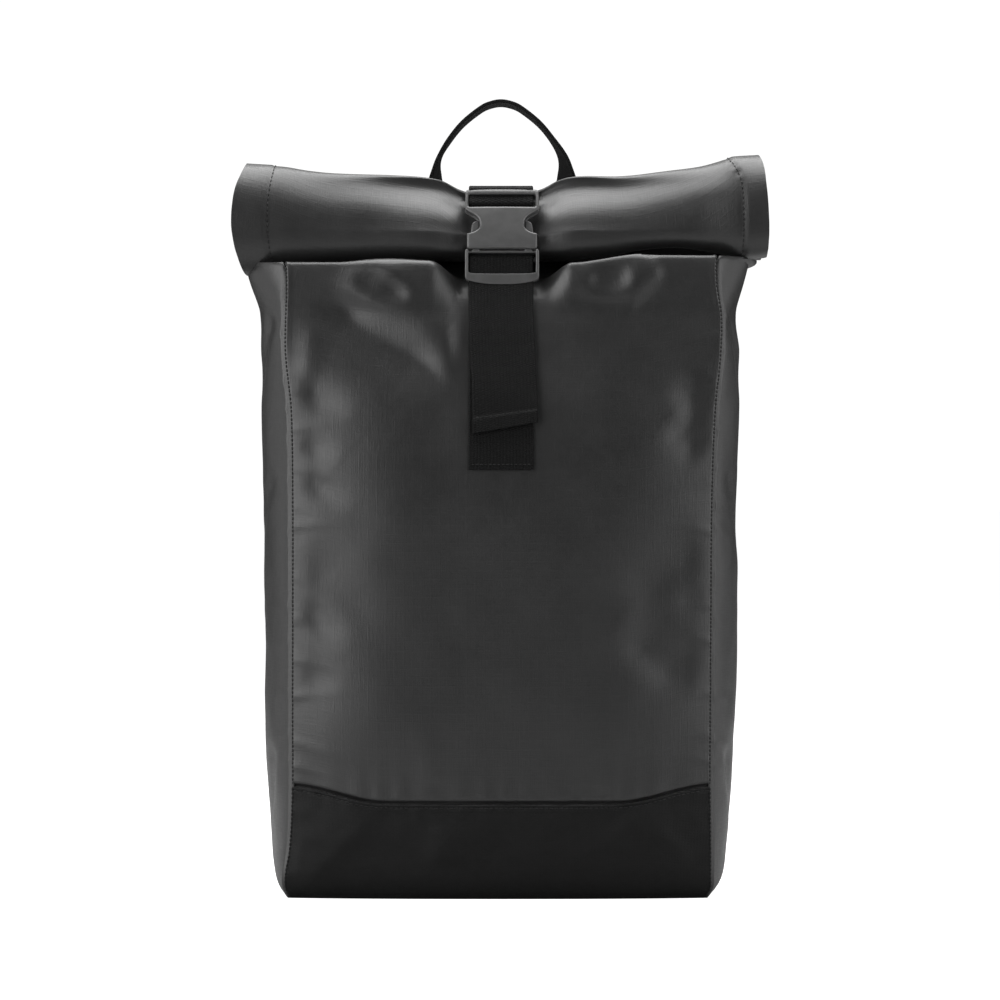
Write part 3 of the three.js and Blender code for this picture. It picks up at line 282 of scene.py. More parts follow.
def shell(name, outer, inner, material, sharp=40):
    """A closed cloth wall between two grids of points."""
    rows, columns = outer.shape[:2]
    count = rows * columns
    index = np.arange(count).reshape(rows, columns)
    top = np.stack([index[:-1, :-1], index[:-1, 1:], index[1:, 1:], index[1:, :-1]], -1).reshape(-1, 4)
    rim = np.concatenate([index[0, :-1], index[:-1, -1], index[-1, :0:-1], index[:0:-1, 0]])
    after = np.roll(rim, -1)
    sides = np.stack([after, rim, rim + count, after + count], -1)
    faces = np.concatenate([top, top[:, ::-1] + count, sides])
    co = np.concatenate([outer.reshape(-1, 3), inner.reshape(-1, 3)])
    if volume_of(co, faces) < 0:
        faces = faces[:, ::-1]
    across = lengths(outer, 1)
    across = across - across[:, columns // 2][:, None]
    along = lengths(outer, 0)
    uv = np.stack([across, along], -1).reshape(-1, 2)
    return mesh_of(name, co, faces.tolist(), np.concatenate([uv, uv]), sharp, material)


def sweep(name, stations, section, material, sharp=35):
    """A closed body swept through stations (at, across, out) with a cross-section of shares."""
    at, across, out = (np.array([s[k] for s in stations], float) for k in range(3))
    section = np.array(section, float)
    ring = (at[:, None] + across[:, None] * section[None, :, :1] + out[:, None] * section[None, :, 1:])
    rows, columns = ring.shape[:2]
    index = np.arange(rows * columns).reshape(rows, columns)
    right = np.roll(index, -1, axis=1)
    faces = np.stack([index[:-1], right[:-1], right[1:], index[1:]], -1).reshape(-1, 4).tolist()
    faces += [index[0, ::-1].tolist(), index[-1].tolist()]
    co = ring.reshape(-1, 3)
    if volume_of(co, faces) < 0:
        faces = [f[::-1] for f in faces]
    width = np.linalg.norm(across, axis=1)
    along = np.broadcast_to(path_lengths(at)[:, None], (rows, columns))
    uv = np.stack([width[:, None] * section[None, :, 0], along], -1)
    return mesh_of(name, co, faces, uv.reshape(-1, 2), sharp, material)


def webbing_section(count=10):
    """Cross-section of webbing, flat with rounded, slightly thicker edges."""
    half = [(-1 + 0.03 * (1 - math.cos(a)), math.sin(a)) for a in np.linspace(-math.pi / 2, math.pi / 2, 5)]
    flat = np.linspace(-0.9, 0.9, count)
    top = [(a, 0.93 + 0.07 * abs(a) ** 6) for a in flat]
    right = [(-x, y) for x, y in reversed(half)]
    bottom = [(-a, -b) for a, b in top]
    return half + top + right + bottom


def resample(points, step):
    """Points at even spacing along a smooth curve through the given ones."""
    points = np.array(points, float)
    chord = np.concatenate([[0], np.cumsum(np.sqrt(np.linalg.norm(np.diff(points, axis=0), axis=1)))])
    length = np.linalg.norm(np.diff(points[:, :3], axis=0), axis=1).sum()
    fine = np.linspace(0, chord[-1], max(int(length / step * 4), 8))
    table = {"at": chord}
    smooth_points = []
    for k in range(points.shape[1]):
        table["value"] = points[:, k]
        smooth_points.append(curve(table, "value", fine))
    smooth_points = np.stack(smooth_points, -1)
    along = path_lengths(smooth_points[:, :3])
    even = np.linspace(0, along[-1], max(int(round(along[-1] / step)), 4) + 1)
    return np.stack([np.interp(even, along, smooth_points[:, k]) for k in range(points.shape[1])], -1)


def tangents(points):
    d = np.gradient(points, axis=0)
    return d / np.maximum(np.linalg.norm(d, axis=1, keepdims=True), 1e-9)


# Rings of a stitch: place as a share of its length, radius and lift as shares of its radius.
STITCH_RINGS = ((0, 0.35, -0.6), (0.18, 0.95, 0.3), (0.5, 1, 0.55), (0.82, 0.95, 0.3), (1, 0.35, -0.6))
STITCH_SIDES = 6


def at_length(path, along, where):
    return np.array([np.interp(where, along, path[:, k]) for k in range(3)])


def stitches(name, paths, material, pitch=3.0, length=2.2, radius=0.28):
    """Rows of thread: each stitch is a small capsule laid along its path."""
    co, faces = [], []
    ring = np.linspace(0, 2 * math.pi, STITCH_SIDES, endpoint=False)
    for path, normal in paths:
        path, normal = np.asarray(path, float), np.asarray(normal, float)
        along = path_lengths(path)
        count = max(int(along[-1] / pitch), 1)
        for middle in (np.arange(count) + 0.5) * along[-1] / count:
            start, end = (at_length(path, along, middle + s * length / 2) for s in (-1, 1))
            size = np.linalg.norm(end - start)
            d = (end - start) / size
            n = unit(at_length(normal, along, middle))
            n = unit(n - d * n.dot(d))
            b = np.cross(d, n)
            first = len(co)
            for s, thick, lift in STITCH_RINGS:
                at = start + d * size * s + n * radius * lift
                co.extend(at + radius * thick * (n * math.sin(a) + b * math.cos(a)) for a in ring)
            for low in range(first, len(co) - STITCH_SIDES, STITCH_SIDES):
                high = low + STITCH_SIDES
                for k in range(STITCH_SIDES):
                    j = (k + 1) % STITCH_SIDES
                    faces.append((low + k, low + j, high + j, high + k))
            faces.append(tuple(first + k for k in reversed(range(STITCH_SIDES))))
            faces.append(tuple(range(len(co) - STITCH_SIDES, len(co))))
    return mesh_of(name, np.array(co), faces, None, 60, material)


def keep(obj, slot, *nodes):
    """Ties a finished piece to the part's body and hides the solids it stands for. slot is not used."""
    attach(obj, "root")
    if nodes:
        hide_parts(*nodes)
    return obj


# Materials
class Shader:
    """A short way to write a node tree."""

    def __init__(self, name):
        self.material = bpy.data.materials.new(name)
        self.material.use_nodes = True
        self.tree = self.material.node_tree
        self.tree.nodes.clear()
        self.output = self.tree.nodes.new("ShaderNodeOutputMaterial")
        self.shader = self.tree.nodes.new("ShaderNodeBsdfPrincipled")
        self.tree.links.new(self.shader.outputs[0], self.output.inputs[0])

    def node(self, kind, *inputs, out=0, **settings):
        node = self.tree.nodes.new("ShaderNode" + kind)
        for key, value in settings.items():
            setattr(node, key, value)
        for k, value in enumerate(inputs):
            self.put(node.inputs[k], value)
        return node.outputs[out]

    def put(self, socket, value):
        if isinstance(value, bpy.types.NodeSocket):
            self.tree.links.new(value, socket)
        elif value is not None:
            socket.default_value = value

    def math(self, operation, *inputs, clamp=False):
        return self.node("Math", *inputs, operation=operation, use_clamp=clamp)

    def noise(self, vector, scale, detail=2.0, rough=0.5):
        node = self.tree.nodes.new("ShaderNodeTexNoise")
        self.put(node.inputs["Vector"], vector)
        self.put(node.inputs["Scale"], scale)
        self.put(node.inputs["Detail"], detail)
        self.put(node.inputs["Roughness"], rough)
        return node.outputs["Fac"]

    def threads(self, across, along, rates, shift):
        """Noise drawn out along one way of the cloth."""
        ways = [self.math("MULTIPLY", way, rate) for way, rate in zip((across, along), rates)]
        return self.noise(self.node("CombineXYZ", *ways, shift), 1.0, 2.0)

    def ridges(self, way, spacing, wave="SINE"):
        """Even ridges across one way of the cloth, 0 to 1."""
        return self.math("ABSOLUTE", self.math(wave, self.math("MULTIPLY", way, math.pi / spacing)))

    def ramp(self, value, low, high, to_low=0.0, to_high=1.0):
        return self.node("MapRange", value, low, high, to_low, to_high, interpolation_type="SMOOTHSTEP")

    def grey(self, value):
        return self.node("CombineColor", value, value, value)

    def set(self, **values):
        for key, value in values.items():
            self.put(self.shader.inputs[key.replace("_", " ")], value)

    def bump(self, height, distance, strength=1.0):
        node = self.tree.nodes.new("ShaderNodeBump")
        self.put(node.inputs["Strength"], strength)
        self.put(node.inputs["Distance"], distance)
        self.put(node.inputs["Height"], height)
        self.put(self.shader.inputs["Normal"], node.outputs[0])


def cloth_vectors(s, mapped):
    """Cloth coordinates in metres, and their two parts."""
    place = s.node("UVMap", uv_map="cloth") if mapped else s.node("TexCoord", out=3)
    parts = s.tree.nodes.new("ShaderNodeSeparateXYZ")
    s.put(parts.inputs[0], place)
    return place, parts.outputs[0], parts.outputs[1 if mapped else 2]


def shell_cloth():
    """Coated ripstop: fine uneven threads both ways, a faint grid, a soft sheen and rubbed patches."""
    s = Shader("shell_cloth")
    place, across, along = cloth_vectors(s, True)
    warp = s.threads(across, along, (1300.0, 110.0), 0.0)
    weft = s.threads(across, along, (110.0, 1300.0), 7.0)
    threads = s.math("ADD", warp, weft)
    lines = [s.math("POWER", s.ridges(way, 0.0052, "COSINE"), 26.0) for way in (across, along)]
    ripstop = s.math("MAXIMUM", *lines)
    cloud = s.noise(place, 22.0, 4.0, 0.6)
    tone = s.math("MULTIPLY", s.ramp(threads, 0.7, 1.3, 0.88, 1.12), s.ramp(cloud, 0.3, 0.7, 0.93, 1.07))
    tone = s.math("MULTIPLY_ADD", ripstop, 0.05, tone)
    rough = s.math("ADD", s.ramp(threads, 0.7, 1.3, 0.42, 0.35), s.ramp(cloud, 0.3, 0.7, -0.02, 0.02))
    s.set(Base_Color=s.grey(s.math("MULTIPLY", tone, 0.012)), Roughness=rough)
    s.set(Specular_IOR_Level=0.6, Sheen_Weight=0.03, Sheen_Roughness=0.4)
    s.bump(s.math("MULTIPLY_ADD", ripstop, 0.25, threads), 0.00008, 0.7)
    return s.material


def grain_cloth(name, level, rough, grain, depth, sheen, mapped=True):
    """Fine-grained plain cloth, as on the boot and the padding."""
    s = Shader(name)
    place, across, along = cloth_vectors(s, mapped)
    fine = s.noise(place, grain, 3.0, 0.65)
    knit = s.math("MULTIPLY", s.ridges(across, 0.0009), s.ridges(along, 0.0009))
    cloud = s.noise(place, 18.0, 4.0, 0.6)
    tone = s.math("MULTIPLY", s.ramp(fine, 0.3, 0.7, 0.7, 1.35), s.ramp(cloud, 0.3, 0.7, 0.9, 1.1))
    s.set(Base_Color=s.grey(s.math("MULTIPLY", tone, level)),
          Roughness=s.ramp(fine, 0.3, 0.7, rough + 0.06, rough - 0.06))
    s.set(Specular_IOR_Level=0.18, Sheen_Weight=sheen, Sheen_Roughness=0.45)
    s.bump(s.math("MULTIPLY_ADD", knit, 0.5, fine), depth, 0.9)
    return s.material


def webbing_cloth(name, level):
    """Woven webbing: columns of short, offset ribs, with firmer edges."""
    s = Shader(name)
    place, across, along = cloth_vectors(s, True)
    column = s.math("DIVIDE", across, 0.0019)
    odd = s.math("PINGPONG", s.math("FLOOR", column), 1.0)
    rounded = s.ridges(column, 1.0)
    row = s.math("MULTIPLY_ADD", odd, 0.5, s.math("DIVIDE", along, 0.00135))
    ribs = s.ridges(row, 1.0)
    weave = s.math("MULTIPLY", s.math("POWER", rounded, 0.6), s.math("MULTIPLY_ADD", ribs, 0.65, 0.35))
    fuzz = s.noise(place, 2600.0, 3.0, 0.6)
    cloud = s.noise(place, 60.0, 3.0, 0.6)
    tone = s.math("MULTIPLY", s.math("MULTIPLY_ADD", weave, 0.9, 0.5), s.ramp(fuzz, 0.25, 0.75, 0.8, 1.25))
    tone = s.math("MULTIPLY", tone, s.ramp(cloud, 0.3, 0.7, 0.88, 1.12))
    s.set(Base_Color=s.grey(s.math("MULTIPLY", tone, level)), Roughness=s.ramp(fuzz, 0.3, 0.7, 0.66, 0.54))
    s.set(Specular_IOR_Level=0.1, Sheen_Weight=0.01)
    s.bump(s.math("MULTIPLY_ADD", fuzz, 0.25, weave), 0.00035, 0.9)
    return s.material


def moulded_plastic():
    """Acetal moulding: satin, with a very fine grain and a faintly uneven tone."""
    s = Shader("buckle_plastic")
    place = s.node("TexCoord", out=3)
    fine = s.noise(place, 5200.0, 2.0, 0.5)
    cloud = s.noise(place, 160.0, 3.0, 0.6)
    tone, rough = s.ramp(cloud, 0.3, 0.7, 0.056, 0.066), s.ramp(cloud, 0.3, 0.7, 0.32, 0.38)
    s.set(Base_Color=s.grey(tone), Roughness=rough, Specular_IOR_Level=0.6)
    s.bump(fine, 0.00003, 0.5)
    return s.material


def thread_cloth():
    s = Shader("thread")
    place = s.node("TexCoord", out=3)
    twist = s.noise(place, 3000.0, 2.0, 0.5)
    s.set(Base_Color=s.grey(s.ramp(twist, 0.3, 0.7, 0.006, 0.014)), Roughness=0.6, Specular_IOR_Level=0.25)
    s.bump(twist, 0.0001, 0.6)
    return s.material


SHELL = shell_cloth()
BOOT = grain_cloth("boot_cloth", 0.003, 0.4, 1500.0, 0.00022, 0.012)
PAD = grain_cloth("padding", 0.016, 0.68, 1300.0, 0.00025, 0.06)
PAD_FREE = grain_cloth("padding_free", 0.016, 0.68, 1300.0, 0.00025, 0.06, mapped=False)
WEB = webbing_cloth("webbing", 0.0027)
PLASTIC = moulded_plastic()
THREAD = thread_cloth()


# Folds
def path_distance(x, z, path):
    """Signed distance to a drawn line, positive on its left, and the share of the line passed."""
    path = np.array(path, float)
    step = np.linalg.norm(np.diff(path, axis=0), axis=1)
    along = np.concatenate([[0], np.cumsum(step)])
    best = np.full(np.shape(x), 1e9)
    side, share = np.zeros(np.shape(x)), np.zeros(np.shape(x))
    for k in range(len(step)):
        d = (path[k + 1] - path[k]) / step[k]
        rx, rz = x - path[k][0], z - path[k][1]
        s = np.clip(rx * d[0] + rz * d[1], 0, step[k])
        far = np.hypot(rx - s * d[0], rz - s * d[1])
        near = far < best
        best = np.where(near, far, best)
        side = np.where(near, np.sign(d[0] * rz - d[1] * rx), side)
        share = np.where(near, (along[k] + s) / along[-1], share)
    return best * side, share


def fold(x, z, path, height, right, left, fade=(0.25, 0.2)):
    """A fold along a line: rises over the width right of it and falls off over the width left of it."""
    line = resample([(a, b, 0) for a, b in path], 4)[:, :2]
    d, share = path_distance(x, z, line)
    profile = np.where(d < 0, np.exp(-(d / right) ** 2), np.exp(-(np.maximum(d, 0) / left) ** 2))
    return height * profile * smooth(0, fade[0], share) * (1 - smooth(1 - fade[1], 1, share))


PUFF_VALLEY = [(-112, 356), (-97, 346), (-82, 333), (-64, 322), (-48, 313), (-38, 303), (-30, 292)]


def puff(x, z):
    """The large drop-shaped puff under the roll: a valley, and a lobe that leans up to its right."""
    line = resample([(a, b, 0) for a, b in PUFF_VALLEY], 3)[:, :2]
    d, share = path_distance(x, z, line)
    wide = np.sqrt(np.clip(1 - np.clip((share - 0.5) / 0.46, 0, 1) ** 2, 0.12, 1))
    across = np.maximum(d, 0) / wide
    lobe = 3.6 * smooth(-2, 25, across) * (1 - smooth(24, 68, across))
    dip = -2.9 * np.exp(-(d / np.where(d < 0, 19.0, 11.0 * wide)) ** 2)
    return (lobe + dip) * smooth(0.04, 0.3, share) * (1 - smooth(0.66, 0.97, share))


def pocket(x, z, middle, half, turn, rim, hollow, open_way):
    """A pinch of cloth with a raised rim, open to one side."""
    a, b = x - middle[0], z - middle[1]
    cos, sin = math.cos(turn), math.sin(turn)
    along, up = (a * cos + b * sin) / half[0], (b * cos - a * sin) / half[1]
    ring = np.hypot(along, up)
    way = np.arctan2(up, along)
    closed = smooth(0.5, 1.3, np.abs(np.arctan2(np.sin(way - open_way), np.cos(way - open_way))))
    wide = np.where(ring < 1, 0.34, 0.6)
    return rim * closed * np.exp(-((ring - 1) / wide) ** 2) - hollow * np.exp(-(ring / 0.72) ** 4)


# Folds of the front, as lines over it (x, z) with height, width to the right and to the left of the line.
FRONT_FOLDS = [
    ([(96, 372), (80, 354), (66, 334)], 1.9, 16, 5, (0.2, 0.5)),
    ([(-104, 338), (-112, 322), (-116, 300)], 0.9, 8, 8, (0.3, 0.3)),
    ([(-122, 300), (-104, 290), (-84, 282)], -1.5, 9, 11, (0.35, 0.6)),
    ([(-122, 268), (-108, 262), (-92, 258)], -1.3, 8, 8, (0.35, 0.6)),
    ([(-122, 246), (-106, 239), (-86, 226)], -1.3, 8, 9, (0.35, 0.6)),
    ([(-122, 205), (-100, 190), (-72, 158), (-60, 138)], -1.3, 14, 17, (0.3, 0.5)),
    ([(-122, 172), (-104, 160), (-88, 146)], -1.2, 8, 9, (0.35, 0.6)),
    ([(-122, 134), (-106, 128), (-90, 124)], -1.0, 8, 9, (0.35, 0.6)),
    ([(125, 306), (112, 292), (99, 282)], -1.6, 13, 14, (0.4, 0.5)),
    ([(99, 282), (110, 270), (123, 258)], -1.6, 12, 14, (0.4, 0.4)),
    ([(125, 214), (104, 196), (84, 178), (68, 160)], -1.5, 17, 14, (0.35, 0.4)),
    ([(66, 160), (88, 144), (118, 120)], -2.2, 14, 20, (0.35, 0.4)),
    ([(122, 178), (108, 172), (96, 170)], -0.6, 9, 9, (0.3, 0.6)),
    ([(-40, 66), (-44, 92), (-52, 118)], 0.35, 7, 7, (0.1, 0.7)),
    ([(14, 60), (16, 84), (12, 110)], 0.35, 7, 7, (0.1, 0.7)),
    ([(58, 62), (64, 92), (74, 120)], 0.35, 8, 8, (0.1, 0.7)),
]
LEFT_PUCKERS = (341, 319, 296, 273, 251, 229, 217, 188, 163, 140, 118, 92, 78)
RIGHT_PUCKERS = (352, 330, 302, 286, 268, 244, 214, 171, 150, 121, 96, 80)


def puckers(along, distance, places, seed, height=0.55, reach=12.0):
    """Small gathers that leave a seam at given places along it."""
    rng = np.random.default_rng(seed)
    total = 0
    for place in places:
        size, wide, far = rng.uniform(0.5, 1.25), rng.uniform(1.6, 3.4), rng.uniform(0.6, 1.5)
        slant = rng.uniform(-0.35, 0.2)
        aside = (along - place - slant * distance) / wide
        total = total + height * size * np.exp(-aside ** 2 - distance / (reach * far))
    return total * smooth(0.2, 2.2, distance)


def front_relief(u, t, base):
    x, z = base[..., 0], base[..., 2]
    edge = (1 - np.abs(u)) * seam_x(u, t)
    height = sum(fold(x, z, *row[:4], fade=row[4]) for row in FRONT_FOLDS) + puff(x, z)
    height = height + pocket(x, z, (-70, 357), (20, 8.5), -0.3, 0.9, 1.6, 2.6)
    height = height + pocket(x, z, (64, 362), (15, 8), 0.05, 0.9, 1.2, 1.57)
    height = height * smooth(STRAP_WIDTH / 2 + 1, STRAP_WIDTH / 2 + 14, np.abs(x)) * smooth(0, 17, edge)
    height = height + np.where(u < 0, puckers(z, edge, LEFT_PUCKERS, 3), puckers(z, edge, RIGHT_PUCKERS, 4))
    height = height + 0.4 * noise(x.shape, 11, (6, 5), 2) * smooth(2, 22, edge) * smooth(20, 34, np.abs(x))
    piping = 0.3 * bump(edge, 2.2, 1.2) * smooth(0.8, 0.9, t)
    groove = -1.8 * np.exp(-(edge / 0.75) ** 2)
    gather = np.sin(x * 0.42 + 1.3 * np.sin(x * 0.09)) * np.exp(-np.abs(z - 60) / 9.0)
    crown = np.where(u < 0, 2.4, 1.3) * (1 - np.exp(-edge / 24.0)) * smooth(22, 78, np.abs(x))
    crown = crown * smooth(60, 110, z) * (1 - smooth(300, 350, z))
    return height + piping + groove + crown + 0.28 * gather


# Front, boot, gussets and back
def dense(low, high, step, ends=0.45, count=5):
    """Values from low to high at about a step, closer together at both ends."""
    middle = np.linspace(low + ends * count, high - ends * count, max(int((high - low) / step), 6))
    return np.concatenate([low + ends * np.arange(count), middle, high - ends * np.arange(count)[::-1]])


def boot_top(u):
    return (BOOT_HEIGHT + BOOT_SIDE_RISE * smooth(0.55, 1, np.abs(u))) / TUCK_HEIGHT


def facing(points, axis, sign):
    """Turns a grid of normals so that it faces the way that sign gives along an axis."""
    n = normals_of(points)
    return n if np.sign(n[..., axis].mean()) == sign else -n


def panel(name, base, relief, wall, axis, sign, material, flat_rows=False):
    n = facing(base, axis, sign)
    n[:, 0, 0 if axis else 1] = 0
    n[:, -1, 0 if axis else 1] = 0
    if flat_rows:
        n[0, :, 2] = 0
    n /= np.linalg.norm(n, axis=-1, keepdims=True)
    outer = base + n * relief[..., None]
    inner = base + n * (np.minimum(relief, 0) - wall)[..., None]
    return shell(name, outer, inner, material), outer, n


HALF = PANEL_WIDTH / 2
across = dense(-HALF, HALF, 1.7) / HALF
u = across[None, :]


def make_front():
    above = dense(-BOOT_LAP, 0, 3.0, 0.4, 3)
    lap = np.concatenate([above[:-1], [0, 0.6, 1.2, 1.8, 2.4, 3.6, 5.0, 6.6, 8.4]])
    low = boot_top(u) + lap[:, None] / TUCK_HEIGHT
    body = np.linspace(0, 1, 186)[1:, None]
    high = low[-1:] + (1 - low[-1:]) * body
    t = np.concatenate([low, high])
    uu = u + 0 * t
    base = front_base(uu, t)
    over = (t - boot_top(uu)) * TUCK_HEIGHT
    sunk = (CLOTH + SEAM_GAP) * (1 - smooth(0.4, 2.6, over))
    relief = front_relief(uu, t, base) * smooth(0, 14, over + BOOT_LAP * 0.4) - sunk
    relief *= np.where(t > 0.97, 1 - smooth(0.97, 1, t), 1)
    return panel("front_panel_cloth", base, relief, CLOTH * 0.8, 1, -1, SHELL)


def make_boot():
    top = boot_top(u) * TUCK_HEIGHT
    rows = np.linspace(0, 1, 44)[:, None]
    z = rows * (top - 3.2)
    z = np.concatenate([z, top - np.array([2.6, 2.0, 1.5, 1.1, 0.8, 0.55, 0.35, 0.18, 0.06, 0])[:, None]])
    t = z / TUCK_HEIGHT
    uu = u + 0 * t
    base = front_base(uu, t)
    x, height = base[..., 0], base[..., 2]
    below = (boot_top(uu) - t) * TUCK_HEIGHT
    edge = (1 - np.abs(uu)) * HALF
    rolled = -0.85 * (1 - np.sqrt(np.clip(1 - (1 - below / 1.1) ** 2, 0, 1))) * (below < 1.1)
    hem = 0.2 * (1 - smooth(3.2, 4.6, below))
    stitched = -0.35 * bump(below, HEM_STITCH, 0.5)
    creases = (fold(x, height, [(-122, 6), (-104, 24), (-84, 44), (-72, 58)], 2.0, 10, 26, (0.2, 0.2))
               + fold(x, height, [(76, 58), (92, 38), (112, 14)], 1.5, 26, 9, (0.2, 0.2))
               + fold(x, height, [(-30, 52), (-34, 30), (-30, 12)], 0.5, 8, 8, (0.3, 0.4)))
    gather = 0.22 * np.sin(x * 0.5 + 1.1 * np.sin(x * 0.12)) * np.exp(-below / 7.0)
    soft = 0.4 * noise(x.shape, 23, (3, 9))
    side = puckers(height, edge, (52, 40, 27, 15), 5, 0.5) - 1.0 * np.exp(-(edge / 0.6) ** 2)
    relief = (creases + soft) * smooth(0, 8, edge) * smooth(0, 7, height)
    relief = relief + rolled + hem + stitched + gather + side
    return *panel("boot_panel_cloth", base, relief, CLOTH * 0.8, 1, -1, BOOT), below


def make_gusset(sign, name):
    v = dense(0, BODY_DEPTH, 2.2)[None, :] / BODY_DEPTH
    t = np.linspace(0, GUSSET_TOP, 180)[:, None]
    base = gusset_surface(sign, v + 0 * t, t + 0 * v)
    z = base[..., 2]
    edge = np.minimum(v, 1 - v) * BODY_DEPTH + 0 * z
    uneven = noise(z.shape, 31 if sign < 0 else 37, (7, 3))
    soft = (0.5 + 0.9 * uneven) * smooth(0, 26, edge) * smooth(0, 30, z)
    line = (v * 100 + 0 * z)
    creases = (fold(line, z, [(8, 345), (20, 320), (34, 288)], -1.6, 5, 7, (0.2, 0.4))
               + fold(line, z, [(10, 250), (26, 228), (44, 190)], -1.3, 5, 8, (0.2, 0.4))
               + fold(line, z, [(14, 90), (24, 62), (40, 36)], -1.4, 5, 8, (0.2, 0.4)))
    side = puckers(z, edge, RIGHT_PUCKERS if sign < 0 else LEFT_PUCKERS, 41 + sign, 0.6)
    relief = soft + creases * smooth(0, 8, edge) + side - 1.0 * np.exp(-(edge / 0.6) ** 2)
    relief = relief * smooth(-1, 6, z) * (1 - smooth(0.88, 0.95, t))
    return panel(name, base, relief, CLOTH * 0.8, 0, sign, SHELL, True)[0]


def make_back():
    t = np.concatenate([np.linspace(0, 0.93, 150), np.linspace(0.93, 1, 24)[1:]])[:, None]
    uu = u + 0 * t
    base = back_surface(uu, t)
    x, z = base[..., 0], base[..., 2]
    edge = (1 - np.abs(uu)) * HALF
    reach = np.minimum(FIELD_X - np.abs(x), np.minimum(z - FIELD_LOW, FIELD_HIGH - z))
    channels = np.minimum(np.abs(np.abs(x) - CHANNEL_X), reach)
    filled = 1 - 0.75 * np.exp(-(np.maximum(channels, 0) / 5.0) ** 2)
    padding = 3.0 * smooth(0, 1, np.clip(reach, 0, 12) / 12) * filled
    seam = -0.6 * np.exp(-(channels / 0.8) ** 2) - 0.6 * np.exp(-(reach / 0.8) ** 2)
    soft = 0.5 * noise(x.shape, 51, (8, 6)) * smooth(0, 14, edge)
    side = puckers(z, edge, LEFT_PUCKERS, 53, 0.5) - 1.4 * np.exp(-(edge / 0.9) ** 2)
    relief = (padding + seam + soft + side) * (1 - smooth(0.88, 0.94, t))
    return panel("back_panel_padded", base, relief, CLOTH, 1, 1, PAD, True)[0]


front, front_outer, front_n = make_front()
boot, boot_outer, boot_n, boot_below = make_boot()
gusset_left = make_gusset(-1, "side_gusset_left_cloth")
gusset_right = make_gusset(1, "side_gusset_right_cloth")
back = make_back()
keep(front, "shell_cloth", "front_panel")
keep(boot, "boot_cloth", "boot_panel")
keep(gusset_left, "shell_cloth", "side_gusset_left")
keep(gusset_right, "shell_cloth", "side_gusset_right")
keep(back, "padding", "back_panel")


# Roll
# Lowest line of the outer turn from left to right: at as a share of half the roll's width.
ROLL_FOOT = dict(zip(("at", "z"), np.array([
    (-1, 366), (-0.86, 368.5), (-0.72, 370.6), (-0.5, 373.6), (-0.25, 374.6), (0.25, 374.6), (0.4, 377),
    (0.52, 382), (0.66, 383.5), (0.8, 379), (0.92, 376), (1, 377)], float).T))


def roll_fine(x, angle):
    """The part's roll surface with its slanted, pinched front by the strap and its uneven foot."""
    p = roll_point(x, angle)
    up, deep = roll_radii(x)
    middle = TUCK_HEIGHT - up * math.sin(ROLL_START)
    foot = middle - (up - ROLL_PITCH / 2)
    low = np.clip((middle - p[..., 2]) / (middle - foot), 0, 1)
    outer = 1 - smooth(math.radians(300), math.radians(380), angle)
    p[..., 2] += (curve(ROLL_FOOT, "z", np.asarray(x) / (ROLL_WIDTH / 2)) - foot) * low ** 2 * outer
    p[..., 2] -= STRAP_PRESS * (1 - smooth(20, 36, np.abs(x))) * smooth(0.35, 0.8, np.sin(angle)) * outer
    ahead = smooth(0.1, 0.9, -np.cos(angle)) * outer
    p[..., 1] += 0.72 * np.exp(-(np.asarray(x) / 95) ** 2) * np.maximum(p[..., 2] - middle, -6) * ahead
    square = np.where((angle > math.pi) & (angle < 1.5 * math.pi), np.sin(2 * angle), 0) ** 2
    return p + roll_normal(x, angle) * (3.2 * square)[..., None]


# Pinches beside the strap: how far each turns outwards and where it leaves the strap, in degrees round the
# roll, its height, and its width there in degrees.
ROLL_PINCHES = ((30, 172, 1.0, 14), (8, 198, -0.9, 11), (44, 136, 0.8, 15), (60, 104, -0.9, 13),
                (-50, 232, -0.7, 13))


